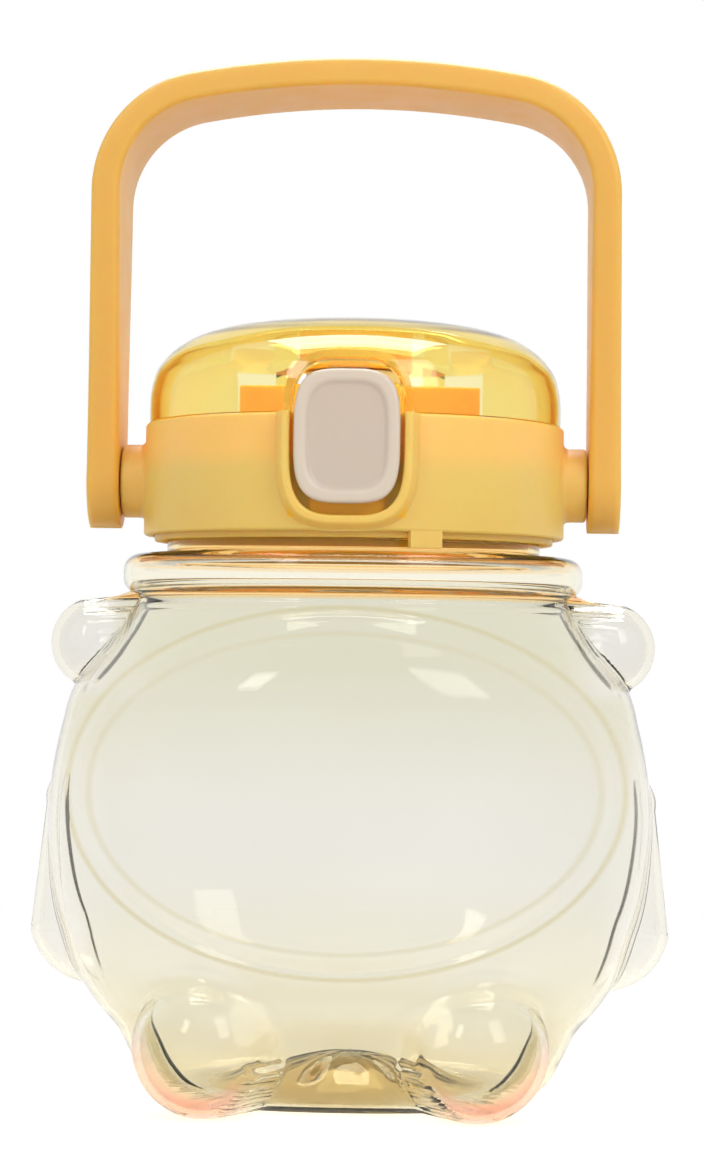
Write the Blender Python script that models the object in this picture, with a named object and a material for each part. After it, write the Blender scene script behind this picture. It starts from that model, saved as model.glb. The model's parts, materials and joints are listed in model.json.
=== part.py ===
"""A bear-shaped drinking bottle with a screw lid, a sprung flip cover and a carrying handle.

Metres, +Z up. The origin is on the floor under the middle of the bottle.
The front, with the push button, faces -Y.
"""
import math

import bmesh
import bpy
import numpy as np
from mathutils import Matrix, Vector

# Clearances
GAP = 0.0003
RUNNING_GAP = 0.0006
OVERRUN = 0.003

# Bottle body: belly
BELLY_TOP = 0.1032
BELLY_HALF_WIDTH = 0.0633
BELLY_HALF_DEPTH = 0.0522
BELLY_WALL = 0.0021
# Height as a share of BELLY_TOP, half width as a share of BELLY_HALF_WIDTH
BELLY_OUTLINE_SHARES = (
    (0.0, 0.59), (0.012, 0.632), (0.035, 0.672), (0.078, 0.713), (0.136, 0.762),
    (0.185, 0.828), (0.242, 0.893), (0.339, 0.956), (0.485, 0.995), (0.575, 1.0),
    (0.653, 0.988), (0.752, 0.957), (0.822, 0.925), (0.911, 0.818), (1.0, 0.717),
)
BELLY_SQUARENESS = 2.45
ROUND_FROM_SHARE = 0.6
FLOOR_THICKNESS = 0.0026
PUSH_UP_RADIUS = 0.0290
PUSH_UP_HEIGHT = 0.0085

# Bottle body: ears, arms, feet and the oval on the tummy
EAR_X = 0.0542
EAR_Z = 0.0942
EAR_RADIUS = 0.0097
ARM_LOW_X = 0.0532
ARM_LOW_Z = 0.0365
ARM_LOW_RADIUS = 0.0145
ARM_HIGH_X = 0.0585
ARM_HIGH_Z = 0.0615
ARM_HIGH_RADIUS = 0.0060
FOOT_X = 0.0272
FOOT_Y = -0.0380
FOOT_RADIUS = 0.0144
FOOT_SINK = 0.0004
LIMB_FILLET = 0.0014
FOOT_FILLET = 0.0030
TUMMY_Z = 0.0650
TUMMY_HALF_WIDTH = 0.0563
TUMMY_HALF_HEIGHT = 0.0365
TUMMY_BORDER = 0.0060
TUMMY_RISE = 0.0013

# Bottle body: collar and threaded neck
COLLAR_RADIUS = 0.0485
COLLAR_BOTTOM = 0.1046
COLLAR_TOP = 0.1130
COLLAR_ROUNDING = 0.0034
NECK_RADIUS = 0.0394
NECK_WALL = 0.0022
NECK_FILLET = 0.0008
MOUTH_TOP = 0.1260
MOUTH_ROUNDING = 0.0006

# Quick thread of two starts
THREAD_LEAD = 0.0100
THREAD_STARTS = 2
THREAD_TURN_SHARE = 0.45
THREAD_HEIGHT = 0.0011
THREAD_ROOT_WIDTH = 0.0018
THREAD_CREST_WIDTH = 0.0010
THREAD_BASE = 0.1176
THREAD_SINK = 0.0005

# Lid base: the shell that carries the bosses, the button bay and the hinge block
LID_BOTTOM = 0.1169
LID_TOP = 0.1404
LID_BOTTOM_RADIUS = 0.0444
LID_TOP_RADIUS = 0.0442
LID_WALL = 0.0018
LID_EDGE_ROUNDING = 0.0005
LEDGE_THICKNESS = 0.0015
LEDGE_WIDTH = 0.0034
BOSS_RADIUS = 0.00775
BOSS_END = 0.0490
BOSS_ROUNDING = 0.0006
PIVOT_Z = 0.1286
LUG_X = 0.0153
LUG_WIDTH = 0.0066
LUG_DROP = 0.0032
LUG_THICKNESS = 0.0018

# Lid liner: the threaded cap inside the lid base, with the deck
LINER_WALL = 0.0013
LINER_DROP = 0.0012
DECK_THICKNESS = 0.0021
GASKET_THICKNESS = 0.0018
GASKET_LAP = 0.0030
THREAD_CLEARANCE = 0.0004

# Spout in the middle of the deck, its gasket and the vent valve
SPOUT_RADIUS = 0.0095
SPOUT_WALL = 0.0022
SPOUT_TOP = 0.1492
SPOUT_FLANGE_RADIUS = 0.0125
SPOUT_FLANGE_THICKNESS = 0.0015
SPOUT_TAIL = 0.0042
SPOUT_SNAP = 0.0006
SPOUT_GASKET_THICKNESS = 0.0008
VENT_X = 0.0230
VENT_Y = 0.0070
VENT_STEM_RADIUS = 0.0017
VENT_CAP_RADIUS = 0.0040
VENT_CAP_THICKNESS = 0.0012
VENT_BULB_RADIUS = 0.0026
VENT_BULB_LENGTH = 0.0024

# Flip cover
COVER_RADIUS = 0.0435
COVER_HEIGHT = 0.0218
COVER_WALL = 0.0020
# Radius as a share of COVER_RADIUS, height as a share of COVER_HEIGHT
COVER_OUTLINE_SHARES = (
    (1.0, 0.0), (1.0, 0.16), (0.995, 0.30), (0.985, 0.40), (0.968, 0.50), (0.942, 0.58),
    (0.902, 0.67), (0.85, 0.75), (0.79, 0.82), (0.70, 0.885), (0.55, 0.945), (0.36, 0.98), (0.18, 0.995),
)

# Push button, its bay and the latch behind it
BUTTON_WIDTH = 0.0211
BUTTON_HEIGHT = 0.0266
BUTTON_Z = 0.1355
BUTTON_FRONT = 0.0472
BUTTON_THICKNESS = 0.0026
BUTTON_EDGE_ROUNDING = 0.0007
BUTTON_RIM = 0.0022
BUTTON_DISH = 0.0007
BUTTON_CORNER_POWER = 3.6
BAY_SIDE_GAP = 0.00085
BAY_END_GAP = 0.0023
BAY_LIP = 0.0022
BAY_LIP_FRONT = 0.0459
ARCH_WALL = 0.0016
TONGUE_WIDTH = 0.0080
TONGUE_THICKNESS = 0.0015
TONGUE_FRONT = 0.0380
TONGUE_BOTTOM = 0.1375
BARB_DEPTH = 0.0015
BARB_HEIGHT = 0.0030
LATCH_CLEARANCE = 0.0008
LATCH_ARM_GAP = 0.0020
LATCH_ARM_THICKNESS = 0.0020
LATCH_BAR_HEIGHT = 0.0030
LATCH_BAR_THICKNESS = 0.0022

# Bracket that guides the button and holds its spring
GUIDE_WALL = 0.0016
GUIDE_FRONT = 0.0400
GUIDE_BACK_ROOM = 0.0080
GUIDE_TOP = 0.1462
BUTTON_SPRING_RADIUS = 0.0026
BUTTON_SPRING_CURLS = 5

# Hinge at the rear
HINGE_Y = 0.0320
HINGE_DROP = 0.0050
HINGE_BLOCK_WIDTH = 0.0540
HINGE_BLOCK_ROOM = 0.0103
HINGE_BLOCK_FRONT = 0.0046
HINGE_NOTCH_GAP = 0.0006
HINGE_NOTCH_RISE = 0.0031
HINGE_ARM_X = 0.0165
HINGE_ARM_WIDTH = 0.0050
HINGE_ARM_THICKNESS = 0.0036
HINGE_KNUCKLE_RADIUS = 0.0029
HINGE_PIN_RADIUS = 0.0010
HINGE_PIN_END = 0.0030
HINGE_SLOT_DROP = 0.0070
HINGE_POCKET_WIDTH = 0.0100
HINGE_SPRING_RADIUS = 0.0023
HINGE_SPRING_CURLS = 5
SPRING_WIRE = 0.0005
SPRING_LEAST_GAP = 0.0004

# Plug in the cover and its retainer
PLUG_THICKNESS = 0.0025
PLUG_NUB_RADIUS = 0.0055
PLUG_NUB_DEPTH = 0.0010
PLUG_STEM_RADIUS = 0.0038
PLUG_HEAD_RADIUS = 0.0052
PLUG_HEAD_THICKNESS = 0.0012
RETAINER_RADIUS = 0.0120
RETAINER_PLATE = 0.0015
RETAINER_WALL = 0.0018

# Handle: a strap bent in one arch, wide at the top and narrow at the pivots
HANDLE_INNER_X = 0.0493
HANDLE_LOW_THICKNESS = 0.0067
HANDLE_TOP_THICKNESS = 0.0057
HANDLE_TOP = 0.2165
HANDLE_CORNER_RADIUS = 0.0250
HANDLE_CROWN = 0.0028
HANDLE_TOP_DEPTH = 0.0310
HANDLE_END_RADIUS = 0.0100
HANDLE_EDGE_ROUNDING = 0.0014
HANDLE_PIN_RADIUS = 0.0030
HANDLE_PIN_HEAD_RADIUS = 0.0055
HANDLE_PIN_HEAD_THICKNESS = 0.0014
HANDLE_PIN_DEPTH = 0.0045

# How finely round shapes are divided
BODY_SIDES = 56
BODY_RINGS = 22
LOW_RINGS = 3
INNER_RINGS = 10
PUSH_UP_RINGS = 3
TURNED_SIDES = 48
SMALL_SIDES = 24
ROUNDING_STEPS = 2
SIDE_CROWDING_SHARE = 0.32

# Places that follow from the sizes above
HINGE_Z = LID_TOP - HINGE_DROP
HINGE_BLOCK_HEIGHT = COVER_HEIGHT - HINGE_BLOCK_ROOM
LID_INNER_RADIUS = LID_TOP_RADIUS - LID_WALL
LINER_RADIUS = LID_INNER_RADIUS - GAP
LINER_INNER_RADIUS = LINER_RADIUS - LINER_WALL
GASKET_INNER_RADIUS = NECK_RADIUS - GASKET_LAP
DECK_BOTTOM = MOUTH_TOP + GASKET_THICKNESS + 2 * GAP
DECK_TOP = DECK_BOTTOM + DECK_THICKNESS
LEDGE_BOTTOM = DECK_TOP + GAP
LEDGE_TOP = LEDGE_BOTTOM + LEDGE_THICKNESS
THREAD_SPACING = THREAD_LEAD / THREAD_STARTS
BUTTON_BACK = BUTTON_FRONT - BUTTON_THICKNESS
BAY_HALF_WIDTH = BUTTON_WIDTH / 2 + BAY_SIDE_GAP
BAY_HALF_HEIGHT = BUTTON_HEIGHT / 2 + BAY_END_GAP
TONGUE_BACK = TONGUE_FRONT - TONGUE_THICKNESS
BARB_TIP = TONGUE_BACK - BARB_DEPTH
LATCH_BAR_FRONT = BARB_TIP - LATCH_CLEARANCE
LATCH_BAR_BACK = LATCH_BAR_FRONT - LATCH_BAR_THICKNESS
LATCH_BOTTOM = TONGUE_BOTTOM + BARB_HEIGHT + GAP
LATCH_ARM_X = TONGUE_WIDTH / 2 + LATCH_ARM_GAP
GUIDE_BACK = LATCH_BAR_BACK - GUIDE_BACK_ROOM
HANDLE_OUTER_X = HANDLE_INNER_X + HANDLE_LOW_THICKNESS
SPOUT_SEAT = DECK_TOP + 2 * GAP + SPOUT_GASKET_THICKNESS

# Colours as linear RGB, roughness, metallic
LOOKS = {
    "clear": ((0.93, 0.88, 0.70), 0.05, 0.0),
    "amber": ((0.95, 0.62, 0.12), 0.06, 0.0),
    "yellow": ((0.90, 0.52, 0.13), 0.38, 0.0),
    "cream": ((0.80, 0.72, 0.60), 0.30, 0.0),
    "silicone": ((0.85, 0.84, 0.80), 0.55, 0.0),
    "white": ((0.86, 0.84, 0.78), 0.35, 0.0),
    "steel": ((0.62, 0.61, 0.59), 0.28, 1.0),
}


def clear_scene():
    """Remove whatever the file holds."""
    for item in list(bpy.data.objects):
        bpy.data.objects.remove(item, do_unlink=True)


def material(name):
    """The named plastic, rubber or metal."""
    colour, roughness, metallic = LOOKS[name]
    made = bpy.data.materials.get(name) or bpy.data.materials.new(name)
    made.use_nodes = True
    shader = made.node_tree.nodes["Principled BSDF"]
    shader.inputs["Base Color"].default_value = (*colour, 1.0)
    shader.inputs["Roughness"].default_value = roughness
    shader.inputs["Metallic"].default_value = metallic
    return made


def add_object(name, verts, faces, look=None):
    """A mesh object from points and faces, with its faces turned outward."""
    mesh = bpy.data.meshes.new(name)
    mesh.from_pydata([tuple(float(c) for c in v) for v in verts], [], faces)
    work = bmesh.new()
    work.from_mesh(mesh)
    bmesh.ops.recalc_face_normals(work, faces=work.faces)
    work.to_mesh(mesh)
    work.free()
    item = bpy.data.objects.new(name, mesh)
    bpy.context.scene.collection.objects.link(item)
    if look:
        mesh.materials.append(material(look))
    return item


def finish(item, look=None, sharp=math.radians(35)):
    """Give a piece its material and smooth shading with crisp edges."""
    if look:
        item.data.materials.clear()
        item.data.materials.append(material(look))
    item.data.shade_smooth()
    item.data.set_sharp_from_angle(angle=sharp)
    return item


def combine(item, other, operation):
    """Apply a Boolean of two objects and remove the second."""
    change = item.modifiers.new("combine", "BOOLEAN")
    change.operation = operation
    change.solver = "EXACT"
    change.object = other
    shape = item.evaluated_get(bpy.context.evaluated_depsgraph_get())
    mesh = bpy.data.meshes.new_from_object(shape)
    item.modifiers.remove(change)
    old = item.data
    item.data = mesh
    bpy.data.meshes.remove(old)
    bpy.data.objects.remove(other, do_unlink=True)
    return item


def cut(item, other):
    """Take the second shape away from the first."""
    return combine(item, other, "DIFFERENCE")


def join(item, other):
    """Add the second shape to the first."""
    return combine(item, other, "UNION")


def keep_inside(item, other):
    """Keep what the two shapes share."""
    return combine(item, other, "INTERSECT")


def loft(name, rings, closed=False):
    """A solid through rings of points, with a fan at each end or joined end to end."""
    sides = len(rings[0])
    verts = [p for ring in rings for p in ring]
    faces = []
    count = len(rings)
    for i in range(count if closed else count - 1):
        here, there = i * sides, (i + 1) % count * sides
        for j in range(sides):
            k = (j + 1) % sides
            faces.append((here + j, here + k, there + k, there + j))
    if not closed:
        faces.append(tuple(range(sides))[::-1])
        faces.append(tuple(range((count - 1) * sides, count * sides)))
    return add_object(name, verts, faces)


def turned(name, profile, sides=TURNED_SIDES, centre=(0.0, 0.0)):
    """A turned ring from a closed outline of (radius, height)."""
    rings = []
    for j in range(sides):
        angle = 2 * math.pi * j / sides
        c, s = math.cos(angle), math.sin(angle)
        rings.append([(centre[0] + r * c, centre[1] + r * s, z) for r, z in profile])
    return loft(name, rings, closed=True)


def turned_solid(name, profile, sides=TURNED_SIDES, centre=(0.0, 0.0)):
    """A turned solid from an open outline of (radius, height), from bottom to top."""
    rings = []
    for r, z in profile:
        rings.append([
            (
                centre[0] + r * math.cos(2 * math.pi * j / sides),
                centre[1] + r * math.sin(2 * math.pi * j / sides),
                z,
            )
            for j in range(sides)
        ])
    return loft(name, rings)


def rod(name, start, end, radius, sides=SMALL_SIDES):
    """A round rod between two points."""
    a, b = Vector(start), Vector(end)
    along = (b - a).normalized()
    side = along.orthogonal().normalized()
    up = along.cross(side)
    rings = []
    for p in (a, b):
        rings.append([
            tuple(
                p
                + side * radius * math.cos(2 * math.pi * j / sides)
                + up * radius * math.sin(2 * math.pi * j / sides)
            )
            for j in range(sides)
        ])
    return loft(name, rings)


def block(name, low, high):
    """A box between two corners."""
    size = [h - l for l, h in zip(low, high)]
    middle = [(h + l) / 2 for l, h in zip(low, high)]
    work = bmesh.new()
    bmesh.ops.create_cube(work, size=1)
    bmesh.ops.scale(work, vec=size, verts=work.verts)
    bmesh.ops.translate(work, vec=middle, verts=work.verts)
    mesh = bpy.data.meshes.new(name)
    work.to_mesh(mesh)
    work.free()
    item = bpy.data.objects.new(name, mesh)
    bpy.context.scene.collection.objects.link(item)
    return item


def extruded(name, outline, start, end):
    """A solid with an outline of (y, z) between two places along X."""
    return loft(name, [[(x, y, z) for y, z in outline] for x in (start, end)])


def rounded_corner(centre, radius, start, end, steps=ROUNDING_STEPS):
    """Points of an arc in an outline, angles in degrees."""
    points = []
    for i in range(steps + 1):
        angle = math.radians(start + (end - start) * i / steps)
        points.append((centre[0] + radius * math.cos(angle), centre[1] + radius * math.sin(angle)))
    return points


def smooth_step(t):
    """Zero below 0, one above 1, smooth between."""
    t = np.clip(t, 0.0, 1.0)
    return t * t * (3 - 2 * t)


def smooth_curve(shares, at):
    """A smooth curve through a table of shares, and its slope."""
    xs = np.array([s[0] for s in shares])
    ys = np.array([s[1] for s in shares])
    slopes = np.gradient(ys, xs)
    at = np.clip(at, xs[0], xs[-1])
    i = np.clip(np.searchsorted(xs, at) - 1, 0, len(xs) - 2)
    width = xs[i + 1] - xs[i]
    t = (at - xs[i]) / width
    value = (
        (2 * t**3 - 3 * t**2 + 1) * ys[i]
        + (t**3 - 2 * t**2 + t) * width * slopes[i]
        + (3 * t**2 - 2 * t**3) * ys[i + 1]
        + (t**3 - t**2) * width * slopes[i + 1]
    )
    slope = (
        (6 * t**2 - 6 * t) * (ys[i] - ys[i + 1]) / width
        + (3 * t**2 - 4 * t + 1) * slopes[i]
        + (3 * t**2 - 2 * t) * slopes[i + 1]
    )
    return value, slope


def smooth_union(a, b, fillet):
    """The nearer of two distances, with a fillet where they meet."""
    h = np.maximum(fillet - np.abs(a - b), 0.0) / fillet
    return np.minimum(a, b) - h * h * fillet / 4


def belly_distance(x, y, z):
    """Distance from the belly's surface, negative inside."""
    share, slope = smooth_curve(BELLY_OUTLINE_SHARES, z / BELLY_TOP)
    roundness = smooth_step((z / BELLY_TOP - ROUND_FROM_SHARE) / (1 - ROUND_FROM_SHARE))
    half_width = BELLY_HALF_WIDTH * share
    depth = np.where(y < 0, BELLY_HALF_DEPTH - TUMMY_RISE, BELLY_HALF_DEPTH) / BELLY_HALF_WIDTH
    half_depth = half_width * (depth + (1 - depth) * roundness)
    power = BELLY_SQUARENESS + (2 - BELLY_SQUARENESS) * roundness
    radius = np.hypot(x, y)
    safe = np.maximum(radius, GAP)
    reach = (
        np.abs(x / safe / half_width) ** power + np.abs(y / safe / half_depth) ** power
    ) ** (-1 / power)
    oval = np.hypot(x / TUMMY_HALF_WIDTH, (z - TUMMY_Z) / TUMMY_HALF_HEIGHT)
    border = TUMMY_BORDER / TUMMY_HALF_WIDTH
    rise = np.sin(np.clip((1 - oval) / border, 0.0, 1.0) * math.pi / 2) * TUMMY_RISE
    reach = reach + np.where(y < 0, rise, 0.0)
    lean = slope * BELLY_HALF_WIDTH / BELLY_TOP
    return (radius - reach) / np.sqrt(1 + lean * lean)


def body_distance(x, y, z):
    """Distance from the bottle's surface below the collar, negative inside."""
    side = np.abs(x)
    ear = np.sqrt((side - EAR_X) ** 2 + y * y + (z - EAR_Z) ** 2) - EAR_RADIUS
    along_x, along_z = ARM_HIGH_X - ARM_LOW_X, ARM_HIGH_Z - ARM_LOW_Z
    length = along_x**2 + along_z**2
    t = np.clip(((side - ARM_LOW_X) * along_x + (z - ARM_LOW_Z) * along_z) / length, 0.0, 1.0)
    thick = ARM_LOW_RADIUS + (ARM_HIGH_RADIUS - ARM_LOW_RADIUS) * t
    arm_x, arm_z = ARM_LOW_X + along_x * t, ARM_LOW_Z + along_z * t
    arm = np.sqrt((side - arm_x) ** 2 + y * y + (z - arm_z) ** 2) - thick
    foot_z = FOOT_RADIUS - FOOT_SINK
    foot = np.sqrt((side - FOOT_X) ** 2 + (y - FOOT_Y) ** 2 + (z - foot_z) ** 2) - FOOT_RADIUS
    whole = smooth_union(belly_distance(x, y, z), foot, FOOT_FILLET)
    whole = smooth_union(whole, arm, LIMB_FILLET)
    return smooth_union(whole, ear, LIMB_FILLET)


def body_radius(angles, z, depth=0.0):
    """Where rays from the axis leave the bottle, at a depth under its surface."""
    c, s = np.cos(angles), np.sin(angles)
    radius = np.full_like(angles, BELLY_HALF_WIDTH + 2 * ARM_LOW_RADIUS)
    step_share, steps = 0.8, 90
    for _ in range(steps):
        radius = radius - step_share * (body_distance(radius * c, radius * s, z) + depth)
    return radius


def body_angles():
    """Angles round the bottle, closer together at the ears and arms."""
    turn = 2 * math.pi * np.arange(BODY_SIDES) / BODY_SIDES
    return turn - SIDE_CROWDING_SHARE / 2 * np.sin(2 * turn)


def helical_ridge(name, root, crest, base, offset, inward=False, lead=THREAD_LEAD):
    """One thread ridge, wide at its root and narrow at its crest."""
    steps = int(TURNED_SIDES * THREAD_TURN_SHARE)
    sink = THREAD_SINK if not inward else -THREAD_SINK
    rings = []
    for i in range(steps + 1):
        angle = offset + 2 * math.pi * THREAD_TURN_SHARE * i / steps
        z = base + lead * THREAD_TURN_SHARE * i / steps
        c, s = math.cos(angle), math.sin(angle)
        half_root, half_crest = THREAD_ROOT_WIDTH / 2, THREAD_CREST_WIDTH / 2
        section = (
            (root - sink, z - half_root),
            (crest, z - half_crest),
            (crest, z + half_crest),
            (root - sink, z + half_root),
        )
        rings.append([(r * c, r * s, h) for r, h in section])
    return loft(name, rings)


def make_bottle():
    """The clear shell: belly, ears, arms, feet, collar and threaded neck in one blown piece."""
    angles = body_angles()
    c, s = np.cos(angles), np.sin(angles)

    def ring(radius, z):
        radius = np.broadcast_to(radius, angles.shape)
        return [(r * x, r * y, z) for r, x, y in zip(radius, c, s)]

    rings = []
    for i in range(PUSH_UP_RINGS):
        t = (i + 0.5) / PUSH_UP_RINGS
        rings.append(ring(PUSH_UP_RADIUS * t, PUSH_UP_HEIGHT * math.cos(t * math.pi / 2) ** 2))
    rings.append(ring(PUSH_UP_RADIUS, 0.0))
    low_top = PUSH_UP_HEIGHT
    crowding_share = 1.7
    heights = [low_top * (i / LOW_RINGS) ** crowding_share for i in range(LOW_RINGS)]
    heights += list(np.linspace(low_top, BELLY_TOP, BODY_RINGS))
    for z in heights:
        rings.append(ring(body_radius(angles, z), z))
    low_centre = (COLLAR_RADIUS - COLLAR_ROUNDING, COLLAR_BOTTOM + COLLAR_ROUNDING)
    high_centre = (COLLAR_RADIUS - COLLAR_ROUNDING, COLLAR_TOP - COLLAR_ROUNDING)
    collar_low = rounded_corner(low_centre, COLLAR_ROUNDING, -80, 0)
    collar_high = rounded_corner(high_centre, COLLAR_ROUNDING, 20, 90)
    mouth_centre = (NECK_RADIUS - MOUTH_ROUNDING, MOUTH_TOP - MOUTH_ROUNDING)
    mouth = rounded_corner(mouth_centre, MOUTH_ROUNDING, 0, 90, 1)
    neck_inner = NECK_RADIUS - NECK_WALL
    turned_rows = collar_low + collar_high
    turned_rows += [(NECK_RADIUS + NECK_FILLET, COLLAR_TOP), (NECK_RADIUS, COLLAR_TOP + NECK_FILLET)]
    turned_rows += mouth + [(neck_inner, MOUTH_TOP), (neck_inner, BELLY_TOP + NECK_WALL)]
    for radius, z in turned_rows:
        rings.append(ring(radius, z))
    inside_top = BELLY_TOP - BELLY_WALL
    inside_low = FLOOR_THICKNESS + PUSH_UP_HEIGHT / 2
    for i in range(INNER_RINGS):
        z = inside_top + (inside_low - inside_top) * i / (INNER_RINGS - 1)
        rings.append(ring(body_radius(angles, z, BELLY_WALL), z))
    floor_edge = body_radius(angles, inside_low, BELLY_WALL)
    floor_shares = (0.75, 0.4, 0.1)
    for t in floor_shares:
        rise = (PUSH_UP_HEIGHT / 2) * math.cos(t * math.pi / 2) ** 2
        rings.append(ring(floor_edge * t, inside_low + rise))
    bottle = loft("bottle_body", rings)
    for n in range(THREAD_STARTS):
        offset = 2 * math.pi * n / THREAD_STARTS
        crest = NECK_RADIUS + THREAD_HEIGHT
        join(bottle, helical_ridge("ridge", NECK_RADIUS, crest, THREAD_BASE, offset))
    return finish(bottle, "clear")


def make_gasket():
    """The silicone ring that the deck presses on the bottle's mouth."""
    low, high = MOUTH_TOP + GAP, DECK_BOTTOM - GAP
    outer = LINER_INNER_RADIUS - GAP
    profile = ((GASKET_INNER_RADIUS, low), (outer, low), (outer, high), (GASKET_INNER_RADIUS, high))
    return finish(turned("neck_gasket", profile), "silicone")


def make_liner():
    """The threaded liner and deck, pressed into the lid base from below."""
    hole = SPOUT_RADIUS + GAP
    bottom = LID_BOTTOM - LINER_DROP
    profile = (
        (LINER_INNER_RADIUS, bottom),
        (LINER_RADIUS, bottom),
        (LINER_RADIUS, DECK_TOP),
        (hole, DECK_TOP),
        (hole, DECK_BOTTOM),
        (LINER_INNER_RADIUS, DECK_BOTTOM),
    )
    liner = turned("lid_liner", profile)
    crest = NECK_RADIUS + THREAD_CLEARANCE
    for n in range(THREAD_STARTS):
        offset = 2 * math.pi * n / THREAD_STARTS
        base = THREAD_BASE + THREAD_SPACING / 2
        join(liner, helical_ridge("ridge", LINER_INNER_RADIUS, crest, base, offset, inward=True))
    vent_low = (VENT_X, VENT_Y, DECK_BOTTOM - OVERRUN)
    vent_high = (VENT_X, VENT_Y, DECK_TOP + OVERRUN)
    cut(liner, rod("vent_hole", vent_low, vent_high, VENT_STEM_RADIUS + GAP))
    return finish(liner, "yellow")


def bay_outline(half_width, half_height, y, sides):
    """The rounded outline of the button or its bay at one depth."""
    points = []
    power = 2 / BUTTON_CORNER_POWER
    for j in range(sides):
        angle = 2 * math.pi * (j + 0.5) / sides
        c, s = math.cos(angle), math.sin(angle)
        x = half_width * math.copysign(abs(c) ** power, c)
        z = half_height * math.copysign(abs(s) ** power, s)
        points.append((x, y, BUTTON_Z + z))
    return points


def bay_prism(name, grow, front, back, sides=SMALL_SIDES * 2):
    """A prism of the bay's outline, grown by a margin, between two depths."""
    half_width, half_height = BAY_HALF_WIDTH + grow, BAY_HALF_HEIGHT + grow
    rings = [bay_outline(half_width, half_height, -y, sides) for y in (front, back)]
    return loft(name, rings)


def make_lid_base():
    """The opaque lid shell with its bosses, button bay, thread stop lug and hinge block."""
    r0, r1 = LID_BOTTOM_RADIUS, LID_TOP_RADIUS
    edge = LID_EDGE_ROUNDING
    inner = LID_INNER_RADIUS
    profile = (
        (inner, LID_BOTTOM),
        (r0 - edge, LID_BOTTOM),
        (r0, LID_BOTTOM + edge),
        (r1, LID_TOP - edge),
        (r1 - edge, LID_TOP),
        (inner, LID_TOP),
        (inner, LEDGE_TOP),
        (inner - LEDGE_WIDTH, LEDGE_TOP),
        (inner - LEDGE_WIDTH, LEDGE_BOTTOM),
        (inner, LEDGE_BOTTOM),
    )
    lid = turned("lid_base", profile)
    for side in (-1, 1):
        start = (side * (inner + LID_WALL / 2), 0.0, PIVOT_Z)
        middle = (side * (BOSS_END - BOSS_ROUNDING), 0.0, PIVOT_Z)
        join(lid, rod("boss", start, middle, BOSS_RADIUS))
        near = (side * (BOSS_END - 2 * BOSS_ROUNDING), 0.0, PIVOT_Z)
        end = (side * BOSS_END, 0.0, PIVOT_Z)
        join(lid, rod("boss_end", near, end, BOSS_RADIUS - BOSS_ROUNDING))
    lip = bay_prism("lip", BAY_LIP, BAY_LIP_FRONT, inner + GAP)
    reach = BAY_LIP_FRONT + OVERRUN
    cut(lip, block("above_lid", (-reach, -reach, LID_TOP), (reach, 0.0, HANDLE_TOP)))
    join(lid, lip)
    cut(lid, bay_prism("bay", 0.0, BAY_LIP_FRONT + OVERRUN, GUIDE_FRONT))
    for side in (-1, 1):
        hole_start = (side * (BOSS_END - HANDLE_PIN_DEPTH - 2 * GAP), 0.0, PIVOT_Z)
        hole_end = (side * (BOSS_END + OVERRUN), 0.0, PIVOT_Z)
        cut(lid, rod("pin_socket", hole_start, hole_end, HANDLE_PIN_RADIUS + GAP))
    lug_inner = LINER_RADIUS + GAP
    lug = block(
        "lug",
        (LUG_X - LUG_WIDTH / 2, -(lug_inner + LUG_THICKNESS), LID_BOTTOM - LUG_DROP),
        (LUG_X + LUG_WIDTH / 2, -lug_inner, LID_BOTTOM + edge - GAP),
    )
    turn = math.asin(LUG_X / lug_inner)
    centre = Matrix.Translation((-LUG_X, 0, 0))
    lug.data.transform(Matrix.Rotation(turn, 4, "Z") @ centre)
    join(lid, lug)
    add_hinge_block(lid)
    return finish(lid, "yellow")


def add_hinge_block(lid):
    """Add the rear block that carries the cover's pin, slotted for the cover's arms."""
    half = HINGE_BLOCK_WIDTH / 2
    front = HINGE_Y - HINGE_BLOCK_FRONT
    top = LID_TOP + HINGE_BLOCK_HEIGHT
    tall = ((COVER_RADIUS, LEDGE_TOP - OVERRUN), (COVER_RADIUS, top + OVERRUN))
    rear = turned_solid("rear", tall)
    body = block("hinge_block", (-half, front, LEDGE_TOP - GAP), (half, COVER_RADIUS + OVERRUN, top))
    keep_inside(body, rear)
    join(lid, body)
    far = LID_BOTTOM_RADIUS + OVERRUN
    slot_half = HINGE_ARM_WIDTH / 2 + GAP
    for side in (-1, 1):
        middle = side * HINGE_ARM_X
        low = (middle - slot_half, HINGE_Y - HINGE_KNUCKLE_RADIUS - GAP, HINGE_Z - HINGE_SLOT_DROP)
        high = (middle + slot_half, far, top + OVERRUN)
        cut(lid, block("slot", low, high))
    pocket = HINGE_POCKET_WIDTH / 2
    pocket_back = HINGE_Y + HINGE_BLOCK_FRONT
    low = (-pocket, front - OVERRUN, LEDGE_TOP + GAP / 3)
    cut(lid, block("pocket", low, (pocket, pocket_back, top + OVERRUN)))
    reach = HINGE_ARM_X + HINGE_ARM_WIDTH / 2 + HINGE_PIN_END + GAP
    start, end = (-reach, HINGE_Y, HINGE_Z), (reach, HINGE_Y, HINGE_Z)
    cut(lid, rod("pin_hole", start, end, HINGE_PIN_RADIUS + GAP, 12))


def cover_profile(inset=0.0):
    """The cover's outline from its rim to its top, moved inward by an inset."""
    points = [
        Vector((COVER_RADIUS * r, LID_TOP + GAP + COVER_HEIGHT * h)) for r, h in COVER_OUTLINE_SHARES
    ]
    if not inset:
        return [tuple(p) for p in points]
    moved = []
    for i, p in enumerate(points):
        before, after = points[max(i - 1, 0)], points[min(i + 1, len(points) - 1)]
        along = (after - before).normalized()
        inward = Vector((-along.y, along.x))
        moved.append(tuple(p + inward * inset))
    return moved


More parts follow.
